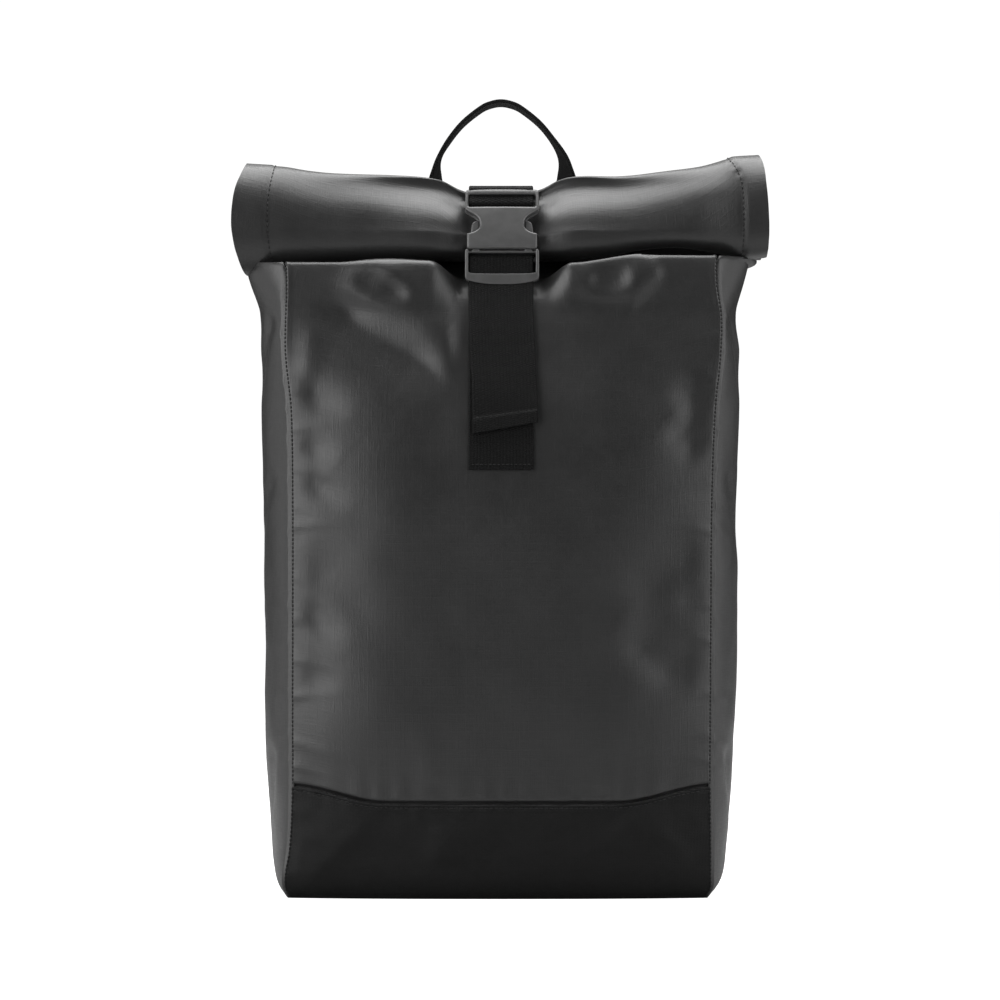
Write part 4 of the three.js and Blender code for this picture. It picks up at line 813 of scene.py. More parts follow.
def make_roll():
    half = ROLL_WIDTH / 2
    x = dense(-half, half, 2.0, 0.5, 4)[None, :]
    shown, hidden = np.linspace(ROLL_FIRST, ROLL_SEEN, 150), np.linspace(ROLL_SEEN, ROLL_LAST, 90)[1:]
    angle = np.radians(np.concatenate([shown, hidden]))[:, None]
    a = x / half
    base = roll_fine(x + 0 * angle, angle + 0 * x)
    n = roll_normal(x + 0 * angle, angle + 0 * x)
    degrees = np.degrees(angle) + 0 * x
    xx = x + 0 * angle
    out = np.abs(xx) - STRAP_WIDTH / 2
    seen = smooth(ROLL_FIRST, 10, degrees) * (1 - smooth(275, ROLL_SEEN, degrees))
    pinch = 0
    for slope, place, size, wide in ROLL_PINCHES:
        line = place - slope * (1 - np.exp(-np.maximum(out, 0) / 55))
        pinch = pinch + size * np.exp(-((degrees - line) / (wide + 0.28 * np.maximum(out, 0))) ** 2)
    pinch = pinch * smooth(-1, 9, out) * np.exp(-np.maximum(out, 0) / 42)
    over_top = smooth(40, 90, degrees) * (1 - smooth(150, 220, degrees))
    swell = 0.8 * bump(out, 13, 10) * over_top - 0.8 * (1 - smooth(-1, 4, out))
    hem = np.where(xx < 0, xx + HEM_LEFT, HEM_RIGHT + HEM_SHIFT * smooth(100, 150, degrees) - xx)
    hemmed = 0.55 * smooth(0.9, -0.6, hem) - 0.9 * bump(hem, 0, 0.75)
    pucker = 1.1 * bump(np.hypot(xx - 141, (degrees - 118) / 4.0), 0, 5.0)
    waves = 0.45 * noise(xx.shape, 61, (6, 7), 2) * smooth(10, 40, out)
    upper = -0.25 * bump(degrees - 10 * a, 128, 12) * smooth(0.2, 0.5, a) * (1 - smooth(0.75, 0.9, a))
    lower = bump(degrees, 235, 14) * smooth(0.35, 0.5, a) * (1 - smooth(0.7, 0.8, a))
    near_end = smooth(ROLL_FIRST, -20, degrees) * (1 - smooth(560, 640, degrees))
    relief = (pinch + swell + waves + upper + lower) * seen + (hemmed + pucker) * near_end
    turns = np.maximum(0, (angle - math.pi / 2) / (2 * math.pi))
    lean_left = 0.84 * ROLL_END_SLANT * np.sin(angle) ** 2
    lean_right = 0.5 * ROLL_END_SLANT * np.maximum(0, np.sin(angle)) ** 2
    lean = np.where(a < 0, lean_left, lean_right)
    lean = lean + np.where(a < 0, 1.6, 3.2)
    place = a * (half - (lean + ROLL_BAND * turns) * np.abs(a) ** 4)
    ragged = 0.45 * noise((angle.size, 2), 67, (14, 1))
    place = place + np.where(a < 0, ragged[:, :1], ragged[:, 1:]) * np.abs(a) ** 20
    outer = base + n * relief[..., None]
    inner = base + n * (np.minimum(relief, 0) - ROLL_BAND)[..., None]
    outer[..., 0] = place
    inner[..., 0] = place
    return shell("rolled_collar_cloth", outer, inner, SHELL), outer, n, hem


roll, roll_outer, roll_n, roll_hem = make_roll()
keep(roll, "shell_cloth", "rolled_collar")


# Webbing and buckle
LAYER = WEBBING + SEAM_GAP
LIP_BACK = -BUCKLE_DEPTH / 2 + LIP_DEPTH
NEAR = LIP_BACK + SEAM_GAP + WEBBING / 2
FAR = NEAR + LAYER
LOOP = LOOP_BAR / 2 + SEAM_GAP + WEBBING / 2
LOWER_AT = SOCKET_BOTTOM - SEAM_GAP - 1.5 - SEAM_GAP - WEBBING / 2 - LOOP
UPPER_AT = SOCKET_TOP - LIP - 5
SLEEVE_TOP = UPPER_AT - LOOP - WEBBING / 2 - SEAM_GAP
BAR_DEPTH = NEAR + LAYER / 2
roll_front = roll_point(BUCKLE_X + BUCKLE_WIDTH / 2, math.pi)[1]
BUCKLE_Y = (roll_front - BUCKLE_CLEAR - BUCKLE_DEPTH / 2 / math.cos(BUCKLE_TILT)
            - math.tan(BUCKLE_TILT) * (roll_point(0, math.pi)[2] - BUCKLE_HEIGHT))


def in_buckle(depth, up, x=0.0):
    cos, sin = math.cos(BUCKLE_TILT), math.sin(BUCKLE_TILT)
    return np.array([x, BUCKLE_Y + depth * cos + up * sin, BUCKLE_HEIGHT + up * cos - depth * sin])


def surface_point(surface, u, t, lift, sign):
    """A place over a surface, lifted off it along its normal. sign is the normal's way along Y."""
    step = 1e-3
    right, left = surface(min(u + step, 1), t), surface(max(u - step, -1), t)
    above, below = surface(u, min(t + step, 1)), surface(u, max(t - step, 0))
    n = unit(np.cross(right - left, above - below))
    return surface(u, t) + n * lift * (1 if np.sign(n[1]) == sign else -1)


def over_front(t, lift):
    return surface_point(lambda a, b: front_base(np.float64(a), np.float64(b)), 0.0, t, lift, -1)


def over_back(u, t, lift):
    return surface_point(lambda a, b: back_surface(np.float64(a), np.float64(b)), u, t, lift, 1)


def bar_turn(at, start, stop):
    return [in_buckle(BAR_DEPTH + LOOP * math.cos(a), at + LOOP * math.sin(a))
            for a in np.radians(np.linspace(start, stop, 7))]


def strip(points, width, thickness=WEBBING, step=1.0):
    """Stations of webbing along a path in the bag's middle plane."""
    points = resample(points, step)
    along = tangents(points[:, :3])
    stations = []
    for p, d in zip(points, along):
        across = np.array([1.0, 0, 0])
        out = unit(np.cross(across, d))
        stations.append([p[:3], across * width / 2, out * thickness / 2])
    return stations


def make_front_strap():
    sewn, free = STRAP_END_HEIGHT / TUCK_HEIGHT, TAIL_END_HEIGHT / TUCK_HEIGHT
    rest, below = SEAM_GAP + WEBBING / 2, PRONG_BOTTOM - 1
    rise = np.linspace(sewn, STRAP_LEAVES - 0.012, 12)
    fall = np.linspace(free, STRAP_LEAVES - 0.012, 12)[::-1]
    up = [over_front(t, rest) for t in rise]
    down = [over_front(t, rest + LAYER + 0.5 * math.sin(math.pi * k / 11)) for k, t in enumerate(fall)]
    path = (up + [in_buckle(FAR, below), in_buckle(FAR, below + LOWER_LIP + 1)] + bar_turn(LOWER_AT, 0, 180)
            + [in_buckle(NEAR, below + LOWER_LIP + 1), in_buckle(NEAR, below)] + down)
    stations = strip(path, STRAP_WIDTH)
    at = np.array([s[0] for s in stations])
    togo = np.cumsum(np.linalg.norm(np.diff(at, axis=0), axis=1)[::-1])[::-1]
    for k, s in enumerate(stations):
        left = togo[k] if k < len(togo) else 0.0
        s[0] = s[0] + np.array([TAIL_DRIFT * float(smooth(80, 0, left)), 0, 0])
        tip = float(smooth(26, 0, left))
        s[1] = s[1] + np.array([0, 0, TAIL_SLANT / 2 * tip])
        if left < TAIL_HEM:
            thick = float(smooth(TAIL_HEM, TAIL_HEM - 1.2, left))
            s[0] = s[0] + unit(s[2]) * WEBBING / 2 * 0.9 * thick * (-1 if s[2][1] > 0 else 1)
            s[2] = s[2] * (1 + 0.9 * thick)
    return sweep("front_strap_webbing", stations, webbing_section(), WEB), stations


def over_roll(angle, lift):
    at = np.float64(STRAP_WIDTH / 2), np.float64(angle)
    p = roll_fine(*at) + roll_normal(*at) * lift
    p[0] = 0
    return p


def make_roll_strap():
    rest, above = SEAM_GAP + WEBBING / 2, SOCKET_TOP + 1
    laid = np.linspace(0.25, 1.75, 11)
    path = [over_roll(a, rest) for a in laid[-2:]]
    path += [in_buckle(FAR, above), in_buckle(FAR, above - LIP - 1)] + bar_turn(UPPER_AT, 0, -180)
    path += [in_buckle(NEAR, above - LIP - 1), in_buckle(NEAR, above)]
    path += [over_roll(a, rest + LAYER) for a in laid[::-1]]
    path += [over_back(0.0, t, rest) for t in np.linspace(0.98, 0.92, 5)]
    return sweep("roll_strap_webbing", strip(path, STRAP_WIDTH), webbing_section(), WEB)


def outline_curve(loops):
    """A flat filled shape with holes, as an object in its own plane, from loops of points."""
    data = bpy.data.curves.new("outline", "CURVE")
    data.dimensions, data.fill_mode = "2D", "BOTH"
    for loop in loops:
        spline = data.splines.new("POLY")
        spline.points.add(len(loop) - 1)
        spline.points.foreach_set("co", np.array([(x, y, 0, 1) for x, y in loop], float).ravel())
        spline.use_cyclic_u = True
    return data


def plate(loops, low, high, bevel):
    """A moulded plate: the loops in the plane (x, up), from one depth to another, its edges rounded."""
    data = outline_curve(loops)
    data.extrude = (high - low) / 2 - bevel
    data.bevel_depth, data.bevel_resolution, data.offset = bevel, 3, -bevel
    obj = placed("plate", data)
    mesh = bpy.data.meshes.new_from_object(obj)
    mesh.transform(Matrix.Rotation(math.pi / 2, 4, "X") @ Matrix.Translation((0, 0, -(low + high) / 2)))
    bpy.data.objects.remove(obj)
    bpy.data.curves.remove(data)
    return mesh


def rod(radius, half, at):
    """A round bar across the buckle at (depth, up)."""
    work = bmesh.new()
    bmesh.ops.create_cone(work, cap_ends=True, segments=16, radius1=radius, radius2=radius, depth=2 * half)
    mesh = bpy.data.meshes.new("rod")
    work.to_mesh(mesh)
    work.free()
    mesh.transform(Matrix.Translation((0, at[0], at[1])) @ Matrix.Rotation(math.pi / 2, 4, "Y"))
    return mesh


def moulded(name, parts, voxel, place, dome=0.0):
    """Plates and bars fused into one moulding with small fillets, made in millimetres.

    dome is how far the middle of the buckle's face stands ahead of its sides.
    """
    work = bmesh.new()
    for mesh in parts:
        work.from_mesh(mesh)
        bpy.data.meshes.remove(mesh)
    bmesh.ops.remove_doubles(work, verts=work.verts, dist=1e-3)
    joined = bpy.data.meshes.new(name)
    work.to_mesh(joined)
    work.free()
    obj = placed(name, joined)
    remesh = obj.modifiers.new("remesh", "REMESH")
    remesh.mode, remesh.voxel_size = "VOXEL", voxel
    relax = obj.modifiers.new("relax", "SMOOTH")
    relax.factor, relax.iterations = 0.5, 3
    done = evaluated(obj)
    obj.modifiers.clear()
    obj.data = done
    done.name = name
    co = places_of(done)
    if dome:
        ahead = smooth(1.5, -1.5, co[:, 1])
        across = co[:, 0] / (BUCKLE_WIDTH / 2)
        co[:, 1] += ahead * (BUCKLE_BOW * co[:, 2] ** 2 - dome * (1 - across ** 2))
    done.vertices.foreach_set("co", co.ravel())
    done.transform(Matrix.Scale(MM, 4) @ place)
    done.polygons.foreach_set("use_smooth", np.ones(len(done.polygons), bool))
    done.materials.clear()
    done.materials.append(PLASTIC)
    return obj


def bezier(p, q, r, s, count=10):
    k = np.linspace(0, 1, count + 1)[1:, None]
    p, q, r, s = (np.array(v, float) for v in (p, q, r, s))
    points = (1 - k) ** 3 * p + 3 * (1 - k) ** 2 * k * q + 3 * (1 - k) * k * k * r + k ** 3 * s
    return [tuple(v) for v in points]


def mirrored(half):
    """A closed loop from its right half, given from the top middle to the bottom middle."""
    return half + [(-x, y) for x, y in reversed(half)]


def rounded_box(x0, y0, x1, y1, r):
    loop = []
    corners = ((x1 - r, y1 - r, 0), (x0 + r, y1 - r, 90), (x0 + r, y0 + r, 180), (x1 - r, y0 + r, 270))
    for cx, cy, start in corners:
        turn = np.radians(np.linspace(start, start + 90, 5))
        loop += [(cx + r * math.cos(a), cy + r * math.sin(a)) for a in turn]
    return loop


def socket_parts():
    half, slot, back = BUCKLE_WIDTH / 2, SLOT_WIDTH / 2, BUCKLE_DEPTH / 2
    top, shoulder, bottom = SOCKET_TOP, SLEEVE_TOP - 1.2, SOCKET_BOTTOM
    waist, flare = (bottom + share * (shoulder - bottom) for share in (0.59, 0.37))
    foot, neck = half * 0.95, half * WAIST
    side = [(half, top - 2.4), (half, shoulder)]
    side += bezier((half, shoulder), (half * 0.93, shoulder - 3), (neck, shoulder - 3.5), (neck, waist))
    side += bezier((neck, waist), (neck, waist - 3.4), (foot * 0.8, flare + 0.5), (foot, flare))
    side += [(foot, bottom + 0.8), (foot - 0.6, bottom), (0, bottom)]
    corner = bezier((half - 2, top), (half - 0.8, top), (half, top - 1), (half, top - 2.4), 5)
    front = mirrored([(0, top), (half - 2, top)] + corner + side)
    window = rounded_box(-slot, SLEEVE_TOP, slot, top - LIP, 0.8)
    inset = [(0, SLEEVE_TOP), (slot, SLEEVE_TOP), (slot, top - 0.4), (half - 0.8, top - 0.6)]
    rear = mirrored(inset + side)
    sleeve = mirrored([(0, SLEEVE_TOP + 0.3), (slot + 0.6, SLEEVE_TOP + 0.3), (slot + 0.6, top - 1),
                       (half - 0.4, top - 1), (half - 0.4, shoulder), (half * 0.8, shoulder - 2.4),
                       (neck, shoulder - 2.8), (0, shoulder - 2.8)])
    wall = [(foot - 0.3, bottom + 0.3), (foot - 0.3, flare - 1)]
    wall += [(foot - 2.2, flare - 1), (foot - 2.2, bottom + 0.3)]
    parts = [plate([front, window], -back, LIP_BACK, 1.1),
             plate([rear], ARM_DEPTH / 2 + SEAM_GAP + 0.2, back, 0.9),
             plate([sleeve], -2.0, back - 1, 0.4),
             rod(LOOP_BAR / 2, slot + 1, (BAR_DEPTH, UPPER_AT))]
    parts += [plate([[(way * x, y) for x, y in wall]], -2.5, back - 1, 0.3) for way in (-1, 1)]
    return parts


def prong_parts():
    half, slot, back = BUCKLE_WIDTH / 2, SLOT_WIDTH / 2, BUCKLE_DEPTH / 2
    top, bottom = SOCKET_BOTTOM - SEAM_GAP, PRONG_BOTTOM
    bend, slot_foot = bottom + 2.9, bottom + LOWER_LIP
    rim = [(slot, top), (half - 0.7, top), (half, top - 0.8), (half, bend + 2.2)]
    turn = (half - 3, bend - 0.8)
    rim += bezier((half, bend + 2.2), (half, bend + 0.4), (half - 1.2, bend - 0.4), turn, 6)
    rim += bezier(turn, (half * 0.55, bottom + 0.2), (half * 0.3, bottom), (0, bottom), 8)
    inside = [(0, slot_foot)]
    inside += bezier((0, slot_foot), (slot * 0.6, slot_foot), (slot, slot_foot), (slot, slot_foot + 1.2), 6)
    front = mirrored(rim) + [(-x, y) for x, y in reversed(inside)] + inside[1:]
    rear = mirrored([(0, top), (half - 0.9, top), (half - 0.3, top - 1), (half - 0.3, bend + 2.6),
                     (half - 1, bend + 1.2), (slot, bend + 1.2), (slot, top - 1.5), (0, top - 1.5)])
    inner, outer, tip = half * WAIST + SEAM_GAP, half - 3 - SEAM_GAP, SOCKET_BOTTOM + PRONG_LENGTH
    arm = [(inner, top - 1), (outer - 1, top - 1), (outer - 0.8, SOCKET_BOTTOM + 8),
           (outer, SOCKET_BOTTOM + 10), (outer - 0.6, tip - 3)]
    arm += bezier((outer - 0.6, tip - 3), (outer - 1.2, tip), (inner + 1, tip), (inner, tip), 6)
    parts = [plate([front], 0.4 - back, LIP_BACK, 0.7),
             plate([rear], LIP_BACK - 1.2, back - 0.6, 0.6),
             rod(LOOP_BAR / 2, slot + 1, (BAR_DEPTH, LOWER_AT))]
    for way in (-1, 1):
        parts.append(plate([[(way * x, y) for x, y in arm]], -ARM_DEPTH / 2, ARM_DEPTH / 2, 0.7))
    return parts


front_strap, strap_stations = make_front_strap()
keep(front_strap, "webbing", "front_strap")
keep(make_roll_strap(), "webbing", "roll_strap")
buckle_place = Matrix.Translation((BUCKLE_X, BUCKLE_Y, BUCKLE_HEIGHT))
buckle_place = buckle_place @ Matrix.Rotation(-BUCKLE_TILT, 4, "X")
socket = moulded("buckle_socket_moulded", socket_parts(), 0.3, buckle_place, 0.7)
prongs = moulded("buckle_prongs_moulded", prong_parts(), 0.3, buckle_place, 0.5)
keep(socket, "buckle_plastic", "buckle_socket")
keep(prongs, "buckle_plastic", "buckle_prongs")


# Grab handle
# Half of the arch: x and rise as shares, back as a share of HANDLE_Y, the turn in degrees on the left and on
# the right.
HANDLE_ARCH = ((1, 0.14, 1.85, 10, 10), (0.985, 0.26, 1.45, 36, 30), (0.96, 0.4, 1.15, 64, 54),
               (0.93, 0.54, 1, 81, 72), (0.875, 0.65, 1, 90, 83), (0.74, 0.755, 1, 90, 89),
               (0.55, 0.862, 1, 90, 90), (0.29, 0.958, 1, 90, 90), (0.15, 0.988, 1, 90, 90))


def make_handle():
    rise, tab = HANDLE_HEIGHT - TUCK_HEIGHT, HANDLE_SPAN / PANEL_WIDTH
    lift = SEAM_GAP + HANDLE_THICKNESS / 2
    stops = []
    for sign in (-1, 1):
        half = [(*over_back(sign * tab, t, lift), 0.0) for t in (0.92, 0.935, 0.96)]
        for x, up, back, *turns in HANDLE_ARCH:
            place = (sign * x * HANDLE_SPAN / 2, back * HANDLE_Y, TUCK_HEIGHT + up * rise)
            half.append((*place, turns[sign > 0] * -sign))
        stops.append(half)
    right = [(x, y, z, 180 + turn) for x, y, z, turn in reversed(stops[1])]
    path = resample(stops[0] + [(0, HANDLE_Y, HANDLE_HEIGHT, 90)] + right, 1.2)
    stations = []
    for p, d in zip(path, tangents(path[:, :3])):
        turn = math.radians(p[3])
        wanted = np.array([math.cos(turn), math.sin(turn), 0])
        wide = unit(wanted - d * wanted.dot(d))
        out = np.cross(d, wide)
        stations.append((p[:3], wide * HANDLE_WIDTH / 2, out * HANDLE_THICKNESS / 2))
    return sweep("grab_handle_webbing", stations, webbing_section(), WEB)


keep(make_handle(), "webbing", "grab_handle")


# Shoulder straps and adjusters
def pad_path(sign, s):
    t = PAD_TOP + (PAD_BOTTOM - PAD_TOP) * s
    x = sign * (PAD_INNER + (PAD_OUTER - PAD_INNER) * float(smooth(0.1, 0.8, s)))
    bow = PAD_BOW * math.sin(math.pi * float(smooth(0.08, 1.25, s)))
    p = over_back(2 * x / PANEL_WIDTH, t, SEAM_GAP + PAD_THICKNESS / 2 + bow)
    p[0] = x
    return p


def station_at(at, along, wanted, width, thickness):
    across = unit(wanted - along * wanted.dot(along))
    out = unit(np.cross(along, across))
    return [at, across * width / 2, out * thickness / 2]


def pad_stations(sign, count, slim=1.0):
    """slim is the thickness left before the padding swells."""
    stops = np.linspace(0, 1, count)
    path = np.array([pad_path(sign, s) for s in stops])
    stations = []
    for s, p, d in zip(stops, path, tangents(path)):
        narrow = 1 - 0.45 * float(smooth(0.8, 1, s))
        thin = 1 - 0.5 * float(smooth(0.85, 1, s)) - 0.4 * (1 - float(smooth(0, 0.07, s)))
        width, thickness = PAD_WIDTH * narrow, PAD_THICKNESS * thin * slim
        stations.append(station_at(p, d, np.array([1.0, 0, 0]), width, thickness))
    return stations


def flattened(value, power):
    return math.copysign(abs(value) ** power, value)


PAD_SECTION = [(flattened(math.cos(a), 0.35), flattened(math.sin(a), 0.8))
               for a in np.linspace(0, 2 * math.pi, 36, endpoint=False)]


def swell(obj, voxel, pressure, cap, steps=20):
    """Blows a closed piece up like sewn padding, and keeps the result in its mesh."""
    remesh = obj.modifiers.new("remesh", "REMESH")
    remesh.mode, remesh.voxel_size = "VOXEL", voxel
    obj.data = evaluated(obj)
    obj.modifiers.clear()
    start = places_of(obj.data)
    cloth = obj.modifiers.new("padding", "CLOTH")
    cloth.settings.quality = 6
    cloth.settings.use_pressure = True
    cloth.settings.uniform_pressure_force = pressure
    cloth.settings.tension_stiffness = cloth.settings.compression_stiffness = 12
    cloth.settings.bending_stiffness = 1.0
    cloth.settings.effector_weights.gravity = 0
    cloth.point_cache.frame_start, cloth.point_cache.frame_end = 1, steps
    scene = bpy.context.scene
    for k in range(1, steps + 1):
        scene.frame_set(k)
    done = evaluated(obj)
    step = places_of(done) - start
    size = np.linalg.norm(step, axis=1, keepdims=True)
    step *= np.minimum(1, cap / np.maximum(size, 1e-12))
    obj.modifiers.clear()
    obj.data.vertices.foreach_set("co", (start + step).ravel())
    bpy.data.meshes.remove(done)
    scene.frame_set(1)
    fine = obj.modifiers.new("fine", "SUBSURF")
    fine.levels = fine.render_levels = 1
    obj.data = evaluated(obj)
    obj.modifiers.clear()
    obj.data.polygons.foreach_set("use_smooth", np.ones(len(obj.data.polygons), bool))
    return obj


def make_pad(sign, side):
    name = f"shoulder_strap_{side}"
    pad = sweep(f"{name}_padded", pad_stations(sign, 70, PAD_SLIM), PAD_SECTION, PAD_FREE)
    pad = swell(pad, PAD_VOXEL, PAD_PRESSURE, PAD_SWELL)
    pad.data.materials.clear()
    pad.data.materials.append(PAD_FREE)
    keep(pad, "padding", name)
    full = pad_stations(sign, 90)
    ring = [(math.cos(a), math.sin(a)) for a in np.linspace(0, 2 * math.pi, 12, endpoint=False)]
    for way in (-1, 1):
        where = "in" if way * sign < 0 else "out"
        edge = []
        for at, wide, out in full:
            thick = np.linalg.norm(out) * 0.42 + 1.1
            edge.append((at + way * (wide - unit(wide) * 1.4), unit(wide) * 2.3, unit(out) * thick))
        keep(sweep(f"{name}_binding_{where}", edge, ring, WEB), "webbing")
        rows = []
        for face in (-1, 1):
            path = [at + way * (wide - unit(wide) * 3.6) + face * out * 0.84 for at, wide, out in full]
            rows.append((path, [face * out for at, wide, out in full]))
        keep(stitches(f"{name}_stitches_{where}", rows, THREAD, 3.4, 2.4, 0.3), "webbing")
    middle = []
    for at, wide, out in full[8:-16]:
        n = -out if out[1] < 0 else out
        middle.append((at + n + unit(n) * 1.1, unit(wide) * 10.0, unit(out) * 0.6))
    keep(sweep(f"{name}_webbing", middle, webbing_section(), WEB), "webbing")


def lock_frame(sign):
    stops = pad_stations(sign, 16)
    end = stops[-1][0]
    along = unit(end - stops[-2][0])
    across = unit(stops[-1][1])
    out = np.cross(along, across)
    return end + along * (SEAM_GAP + LOCK_LENGTH / 2), along, across, out


def make_lock(sign, side):
    middle, along, across, out = lock_frame(sign)
    slot = (LOWER_WEBBING_WIDTH + 2) / 2
    gap = (LOCK_LENGTH - 3 * LOCK_BAR) / 2
    loops = [rounded_box(-LOCK_WIDTH / 2, -LOCK_LENGTH / 2, LOCK_WIDTH / 2, LOCK_LENGTH / 2, 3.0)]
    for row in (-1, 1):
        bottom = row * (LOCK_BAR + gap) / 2 - gap / 2
        loops.append(rounded_box(-slot, bottom, slot, bottom + gap, 1.0))
    basis = Matrix(np.array([across, out, -along]).T.tolist()).to_4x4()
    place = Matrix.Translation(middle.tolist()) @ basis
    body = plate(loops, -LOCK_THICKNESS / 2, LOCK_THICKNESS / 2, 1.2)
    lock = moulded(f"ladder_lock_{side}_moulded", [body], 0.4, place)
    keep(lock, "buckle_plastic", f"ladder_lock_{side}")


def make_lower_webbing(sign, side):
    middle, along, across, out = lock_frame(sign)
    bar = middle + along * (LOCK_LENGTH / 2 - LOCK_BAR / 2)
    reach, past = LOCK_THICKNESS / 2 + SEAM_GAP + WEBBING / 2, LOCK_BAR / 2 + SEAM_GAP + WEBBING / 2
    inward = -1 if out[1] > 0 else 1

    def at(depth, down):
        return bar + out * depth + along * down

    def hang(down):
        return at(-inward * reach, past) + np.array([0, 0, -down])

    around = [hang(LOWER_TAIL * share) for share in (1, 0.75, 0.5, 0.25)]
    around += [at(-inward * reach, past), at(-inward * reach, 0.4 - past)]
    around += [at(inward * (0.8 - reach), -past), at(inward * (reach - 0.8), -past)]
    around += [at(inward * reach, down) for down in (0.4 - past, past, past + 4)]
    sewn = []
    for height in (CORNER_HEIGHT + CORNER_TAB, CORNER_HEIGHT):
        edges = [sign * CORNER_X + edge * LOWER_WEBBING_WIDTH / 2 for edge in (-1, 1)]
        ends = [over_back(2 * x / PANEL_WIDTH, height / TUCK_HEIGHT, SEAM_GAP + WEBBING / 2) for x in edges]
        sewn.append(((ends[0] + ends[1]) / 2, ends[1] - ends[0]))
    wide = [across] * len(around) + [unit(s[1]) for s in sewn]
    path = np.concatenate([np.array(around + [s[0] for s in sewn]), np.array(wide)], 1)
    path = resample(path, 1.0)
    stations = [station_at(p[:3], d, p[3:], LOWER_WEBBING_WIDTH, WEBBING)
                for p, d in zip(path, tangents(path[:, :3]))]
    webbing = sweep(f"lower_webbing_{side}_webbing", stations, webbing_section(), WEB)
    keep(webbing, "webbing", f"lower_webbing_{side}")


for side, sign in (("left", -1), ("right", 1)):
    make_pad(sign, side)
    make_lock(sign, side)
    make_lower_webbing(sign, side)


# Base
def make_base():
    inset = CLOTH + 2 * SEAM_GAP
    uu, vv, foot = np.linspace(-1, 1, 60), np.linspace(0, 1, 30)[:, None], np.zeros((1, 1))
    right, left = gusset_surface(1, vv, foot)[:, 0], gusset_surface(-1, vv[::-1], foot)[:, 0]
    ring = np.concatenate([front_base(uu, 0 * uu), right, back_surface(uu[::-1], 0 * uu), left])[:, :2]
    centre = ring.mean(0)
    rings, heights = [], []
    for step in np.concatenate([[0, 0.25, 0.8, 1.8], np.linspace(4, 46, 12)]):
        away = ring - centre
        rings.append(centre + away * (1 - (inset + step) / np.linalg.norm(away, axis=1, keepdims=True)))
        heights.append(0.5 * (1 - min(step / 0.8, 1)) ** 2)
    rings, count = np.array(rings), len(ring)
    level = np.broadcast_to(np.array(heights)[:, None, None], rings.shape[:2] + (1,))
    under = np.concatenate([rings, level], -1)
    upper = under.copy()
    upper[..., 2] = 2.3 - under[..., 2]
    index = np.arange(rings.shape[0] * count).reshape(rings.shape[0], count)
    after = np.roll(index, -1, axis=1)
    top = np.stack([index[:-1], after[:-1], after[1:], index[1:]], -1).reshape(-1, 4)
    total = index.size
    sides = np.stack([after[0], index[0], index[0] + total, after[0] + total], -1)
    faces = np.concatenate([top, top[:, ::-1] + total, sides]).tolist()
    faces += [index[-1].tolist(), (index[-1, ::-1] + total).tolist()]
    co = np.concatenate([under.reshape(-1, 3), upper.reshape(-1, 3)])
    if volume_of(co, faces) < 0:
        faces = [f[::-1] for f in faces]
    return mesh_of("base_panel_cloth", co, faces, co[:, :2], 40, BOOT)


keep(make_base(), "boot_cloth", "base_panel")


# Stitching
def contour(points, values, level, columns):
    """Where a value crosses a level on each row of a grid, over a range of its columns."""
    part, value = points[:, columns], values[:, columns]
    order = np.sign(value[0, -1] - value[0, 0])
    rows = zip(part, value * order)
    return np.array([[np.interp(level * order, v, row[:, k]) for k in range(3)] for row, v in rows])


def stitch_rows():
    turned = [np.swapaxes(g, 0, 1) for g in (boot_outer, boot_n)]
    below = boot_below.T
    upper = slice(below.shape[1] // 2, None)
    path, normal = (contour(g, below, HEM_STITCH, upper)[3:-3] for g in turned)
    keep(stitches("boot_stitches", [(path + normal * 0.1, normal)], THREAD, 2.9, 2.2, 0.3), "webbing")
    rows = []
    for outer, normal, first, last in ((front_outer, front_n, 8, -12), (boot_outer, boot_n, 3, -3)):
        for column in (2, -3):
            path, out = outer[first:last, column], normal[first:last, column]
            rows.append((path + out * 0.25, out))
    keep(stitches("side_seam_stitches", rows, THREAD, 2.4, 1.9, 0.42), "webbing")
    rows = []
    count = roll_outer.shape[1]
    turned_on = slice(4, 190)
    for columns in (slice(0, count // 5), slice(count - count // 5, count)):
        path = contour(roll_outer[turned_on], roll_hem[turned_on], 0.0, columns)
        normal = contour(roll_n[turned_on], roll_hem[turned_on], 0.0, columns)
        rows.append((path + normal * 0.15, normal))
    keep(stitches("roll_hem_stitches", rows, THREAD, 3.2, 2.3, 0.3), "webbing")
    rows = []
    for at, wide, out in (strap_stations[3], strap_stations[-9]):
        ahead = out if out[1] < 0 else -out
        path = [at + unit(wide) * x + ahead for x in np.linspace(-TACK_REACH, TACK_REACH, 9)]
        rows.append((path, [ahead] * 9))
    keep(stitches("front_strap_stitches", rows, THREAD, 2.5, 1.9, 0.27), "webbing")
    rows = []
    levels = [(-FIELD_X, z, FIELD_X, z) for z in (FIELD_LOW, FIELD_HIGH)]
    uprights = [(x, FIELD_LOW, x, FIELD_HIGH) for x in (-FIELD_X, FIELD_X, -CHANNEL_X, CHANNEL_X)]
    for x0, z0, x1, z1 in levels + uprights:
        path = []
        for k in np.linspace(0, 1, 24):
            u, t = 2 * (x0 + (x1 - x0) * k) / PANEL_WIDTH, (z0 + (z1 - z0) * k) / TUCK_HEIGHT
            path.append(over_back(u, t, -0.1))
        rows.append((path, [np.array([0, 1.0, 0])] * 24))
    keep(stitches("back_panel_stitches", rows, THREAD, 3.4, 2.4, 0.3), "padding")


stitch_rows()


# Studio
def area_light(name, place, target, size, power):
    data = bpy.data.lights.new(name, "AREA")
    data.shape, data.size, data.size_y = "RECTANGLE", size[0], size[1]
    data.energy = power
    light = placed(name, data)
    light.location = place
    light.rotation_euler = (Vector(target) - Vector(place)).to_track_quat("-Z", "Y").to_euler()


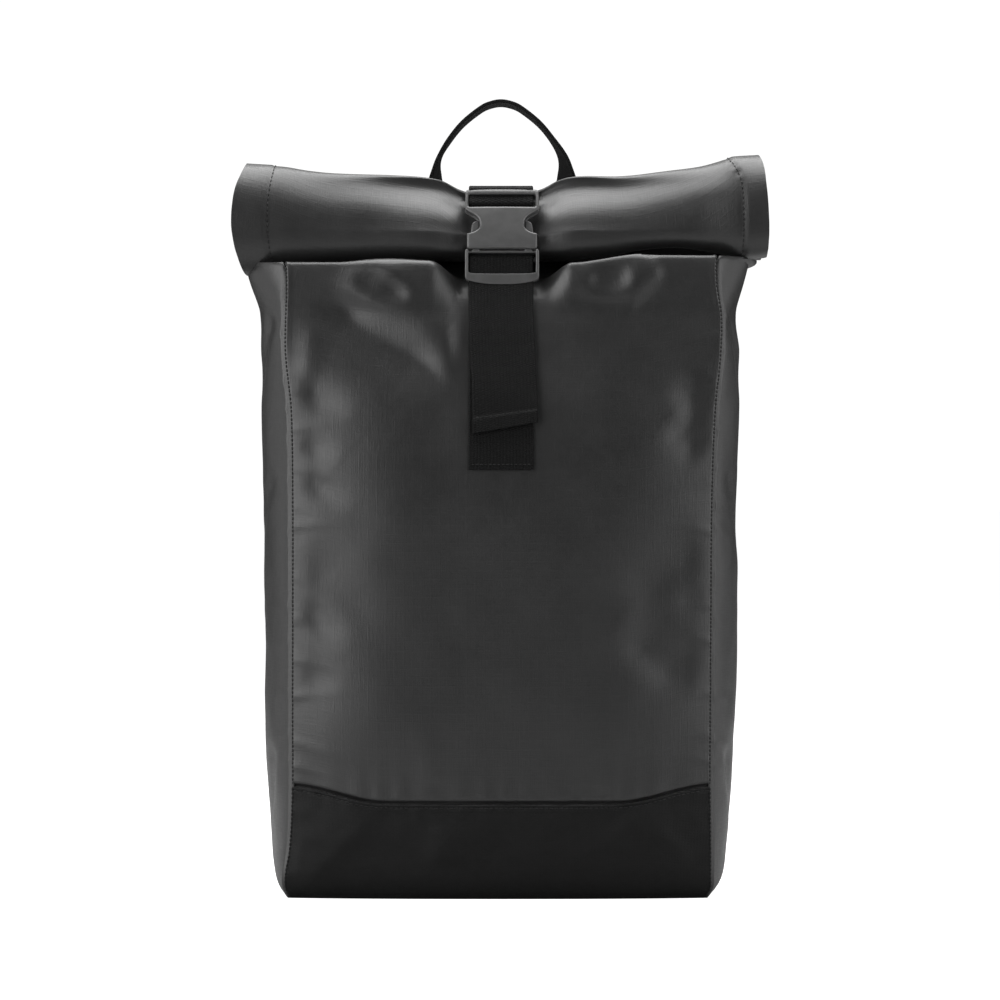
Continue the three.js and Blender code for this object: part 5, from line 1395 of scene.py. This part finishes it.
def studio():
    scene = bpy.context.scene
    floor_mesh = bpy.data.meshes.new("floor")
    floor_mesh.from_pydata([(-80, -80, 0), (80, -80, 0), (80, 80, 0), (-80, 80, 0)], [], [(0, 1, 2, 3)])
    floor = placed("floor", floor_mesh)
    s = Shader("floor_white")
    ray = s.tree.nodes.new("ShaderNodeLightPath")
    s.set(Base_Color=(0.4, 0.4, 0.4, 1), Roughness=0.9, Specular_IOR_Level=0.1)
    s.set(Emission_Color=(1, 1, 1, 1), Emission_Strength=ray.outputs["Is Camera Ray"])
    floor_mesh.materials.append(s.material)
    world = bpy.data.worlds.new("studio")
    world.use_nodes = True
    tree = world.node_tree
    tree.nodes.clear()
    ray = tree.nodes.new("ShaderNodeLightPath")
    seen, lit = tree.nodes.new("ShaderNodeBackground"), tree.nodes.new("ShaderNodeBackground")
    seen.inputs[0].default_value, seen.inputs[1].default_value = (1, 1, 1, 1), 1.05
    lit.inputs[0].default_value, lit.inputs[1].default_value = (1, 1, 1, 1), 0.03
    mix, out = tree.nodes.new("ShaderNodeMixShader"), tree.nodes.new("ShaderNodeOutputWorld")
    tree.links.new(ray.outputs["Is Camera Ray"], mix.inputs[0])
    tree.links.new(lit.outputs[0], mix.inputs[1])
    tree.links.new(seen.outputs[0], mix.inputs[2])
    tree.links.new(mix.outputs[0], out.inputs[0])
    scene.world = world
    area_light("key_left", (-1.3, -0.95, 0.6), (0, 0, 0.25), (1.7, 1.7), 32)
    area_light("fill_right", (1.4, -0.85, 0.5), (0, 0, 0.22), (1.5, 1.5), 17)
    area_light("top", (0.0, 0.12, 1.7), (0.0, 0.03, 0.4), (1.9, 1.3), 50)
    area_light("behind", (0, 1.05, 1.45), (0, 0, 0.42), (2.4, 0.7), 4.5)
    area_light("rim_left", (-1.55, 0.45, 0.5), (0, 0, 0.22), (1.0, 1.5), 3.5)
    area_light("rim_right", (1.55, 0.4, 0.5), (0, 0, 0.22), (1.0, 1.5), 4.5)
    scene.view_settings.view_transform = "Standard"
    scene.view_settings.look = "None"
    camera_data = bpy.data.cameras.new("camera")
    camera_data.lens, camera_data.sensor_width, camera_data.sensor_height = 120, 36, 36
    camera_data.clip_end = 300
    camera = placed("camera", camera_data)
    camera.location = (-0.0006, -2.0, 0.2325)
    camera.rotation_euler = (math.pi / 2, 0, 0)
    scene.camera = camera


studio()
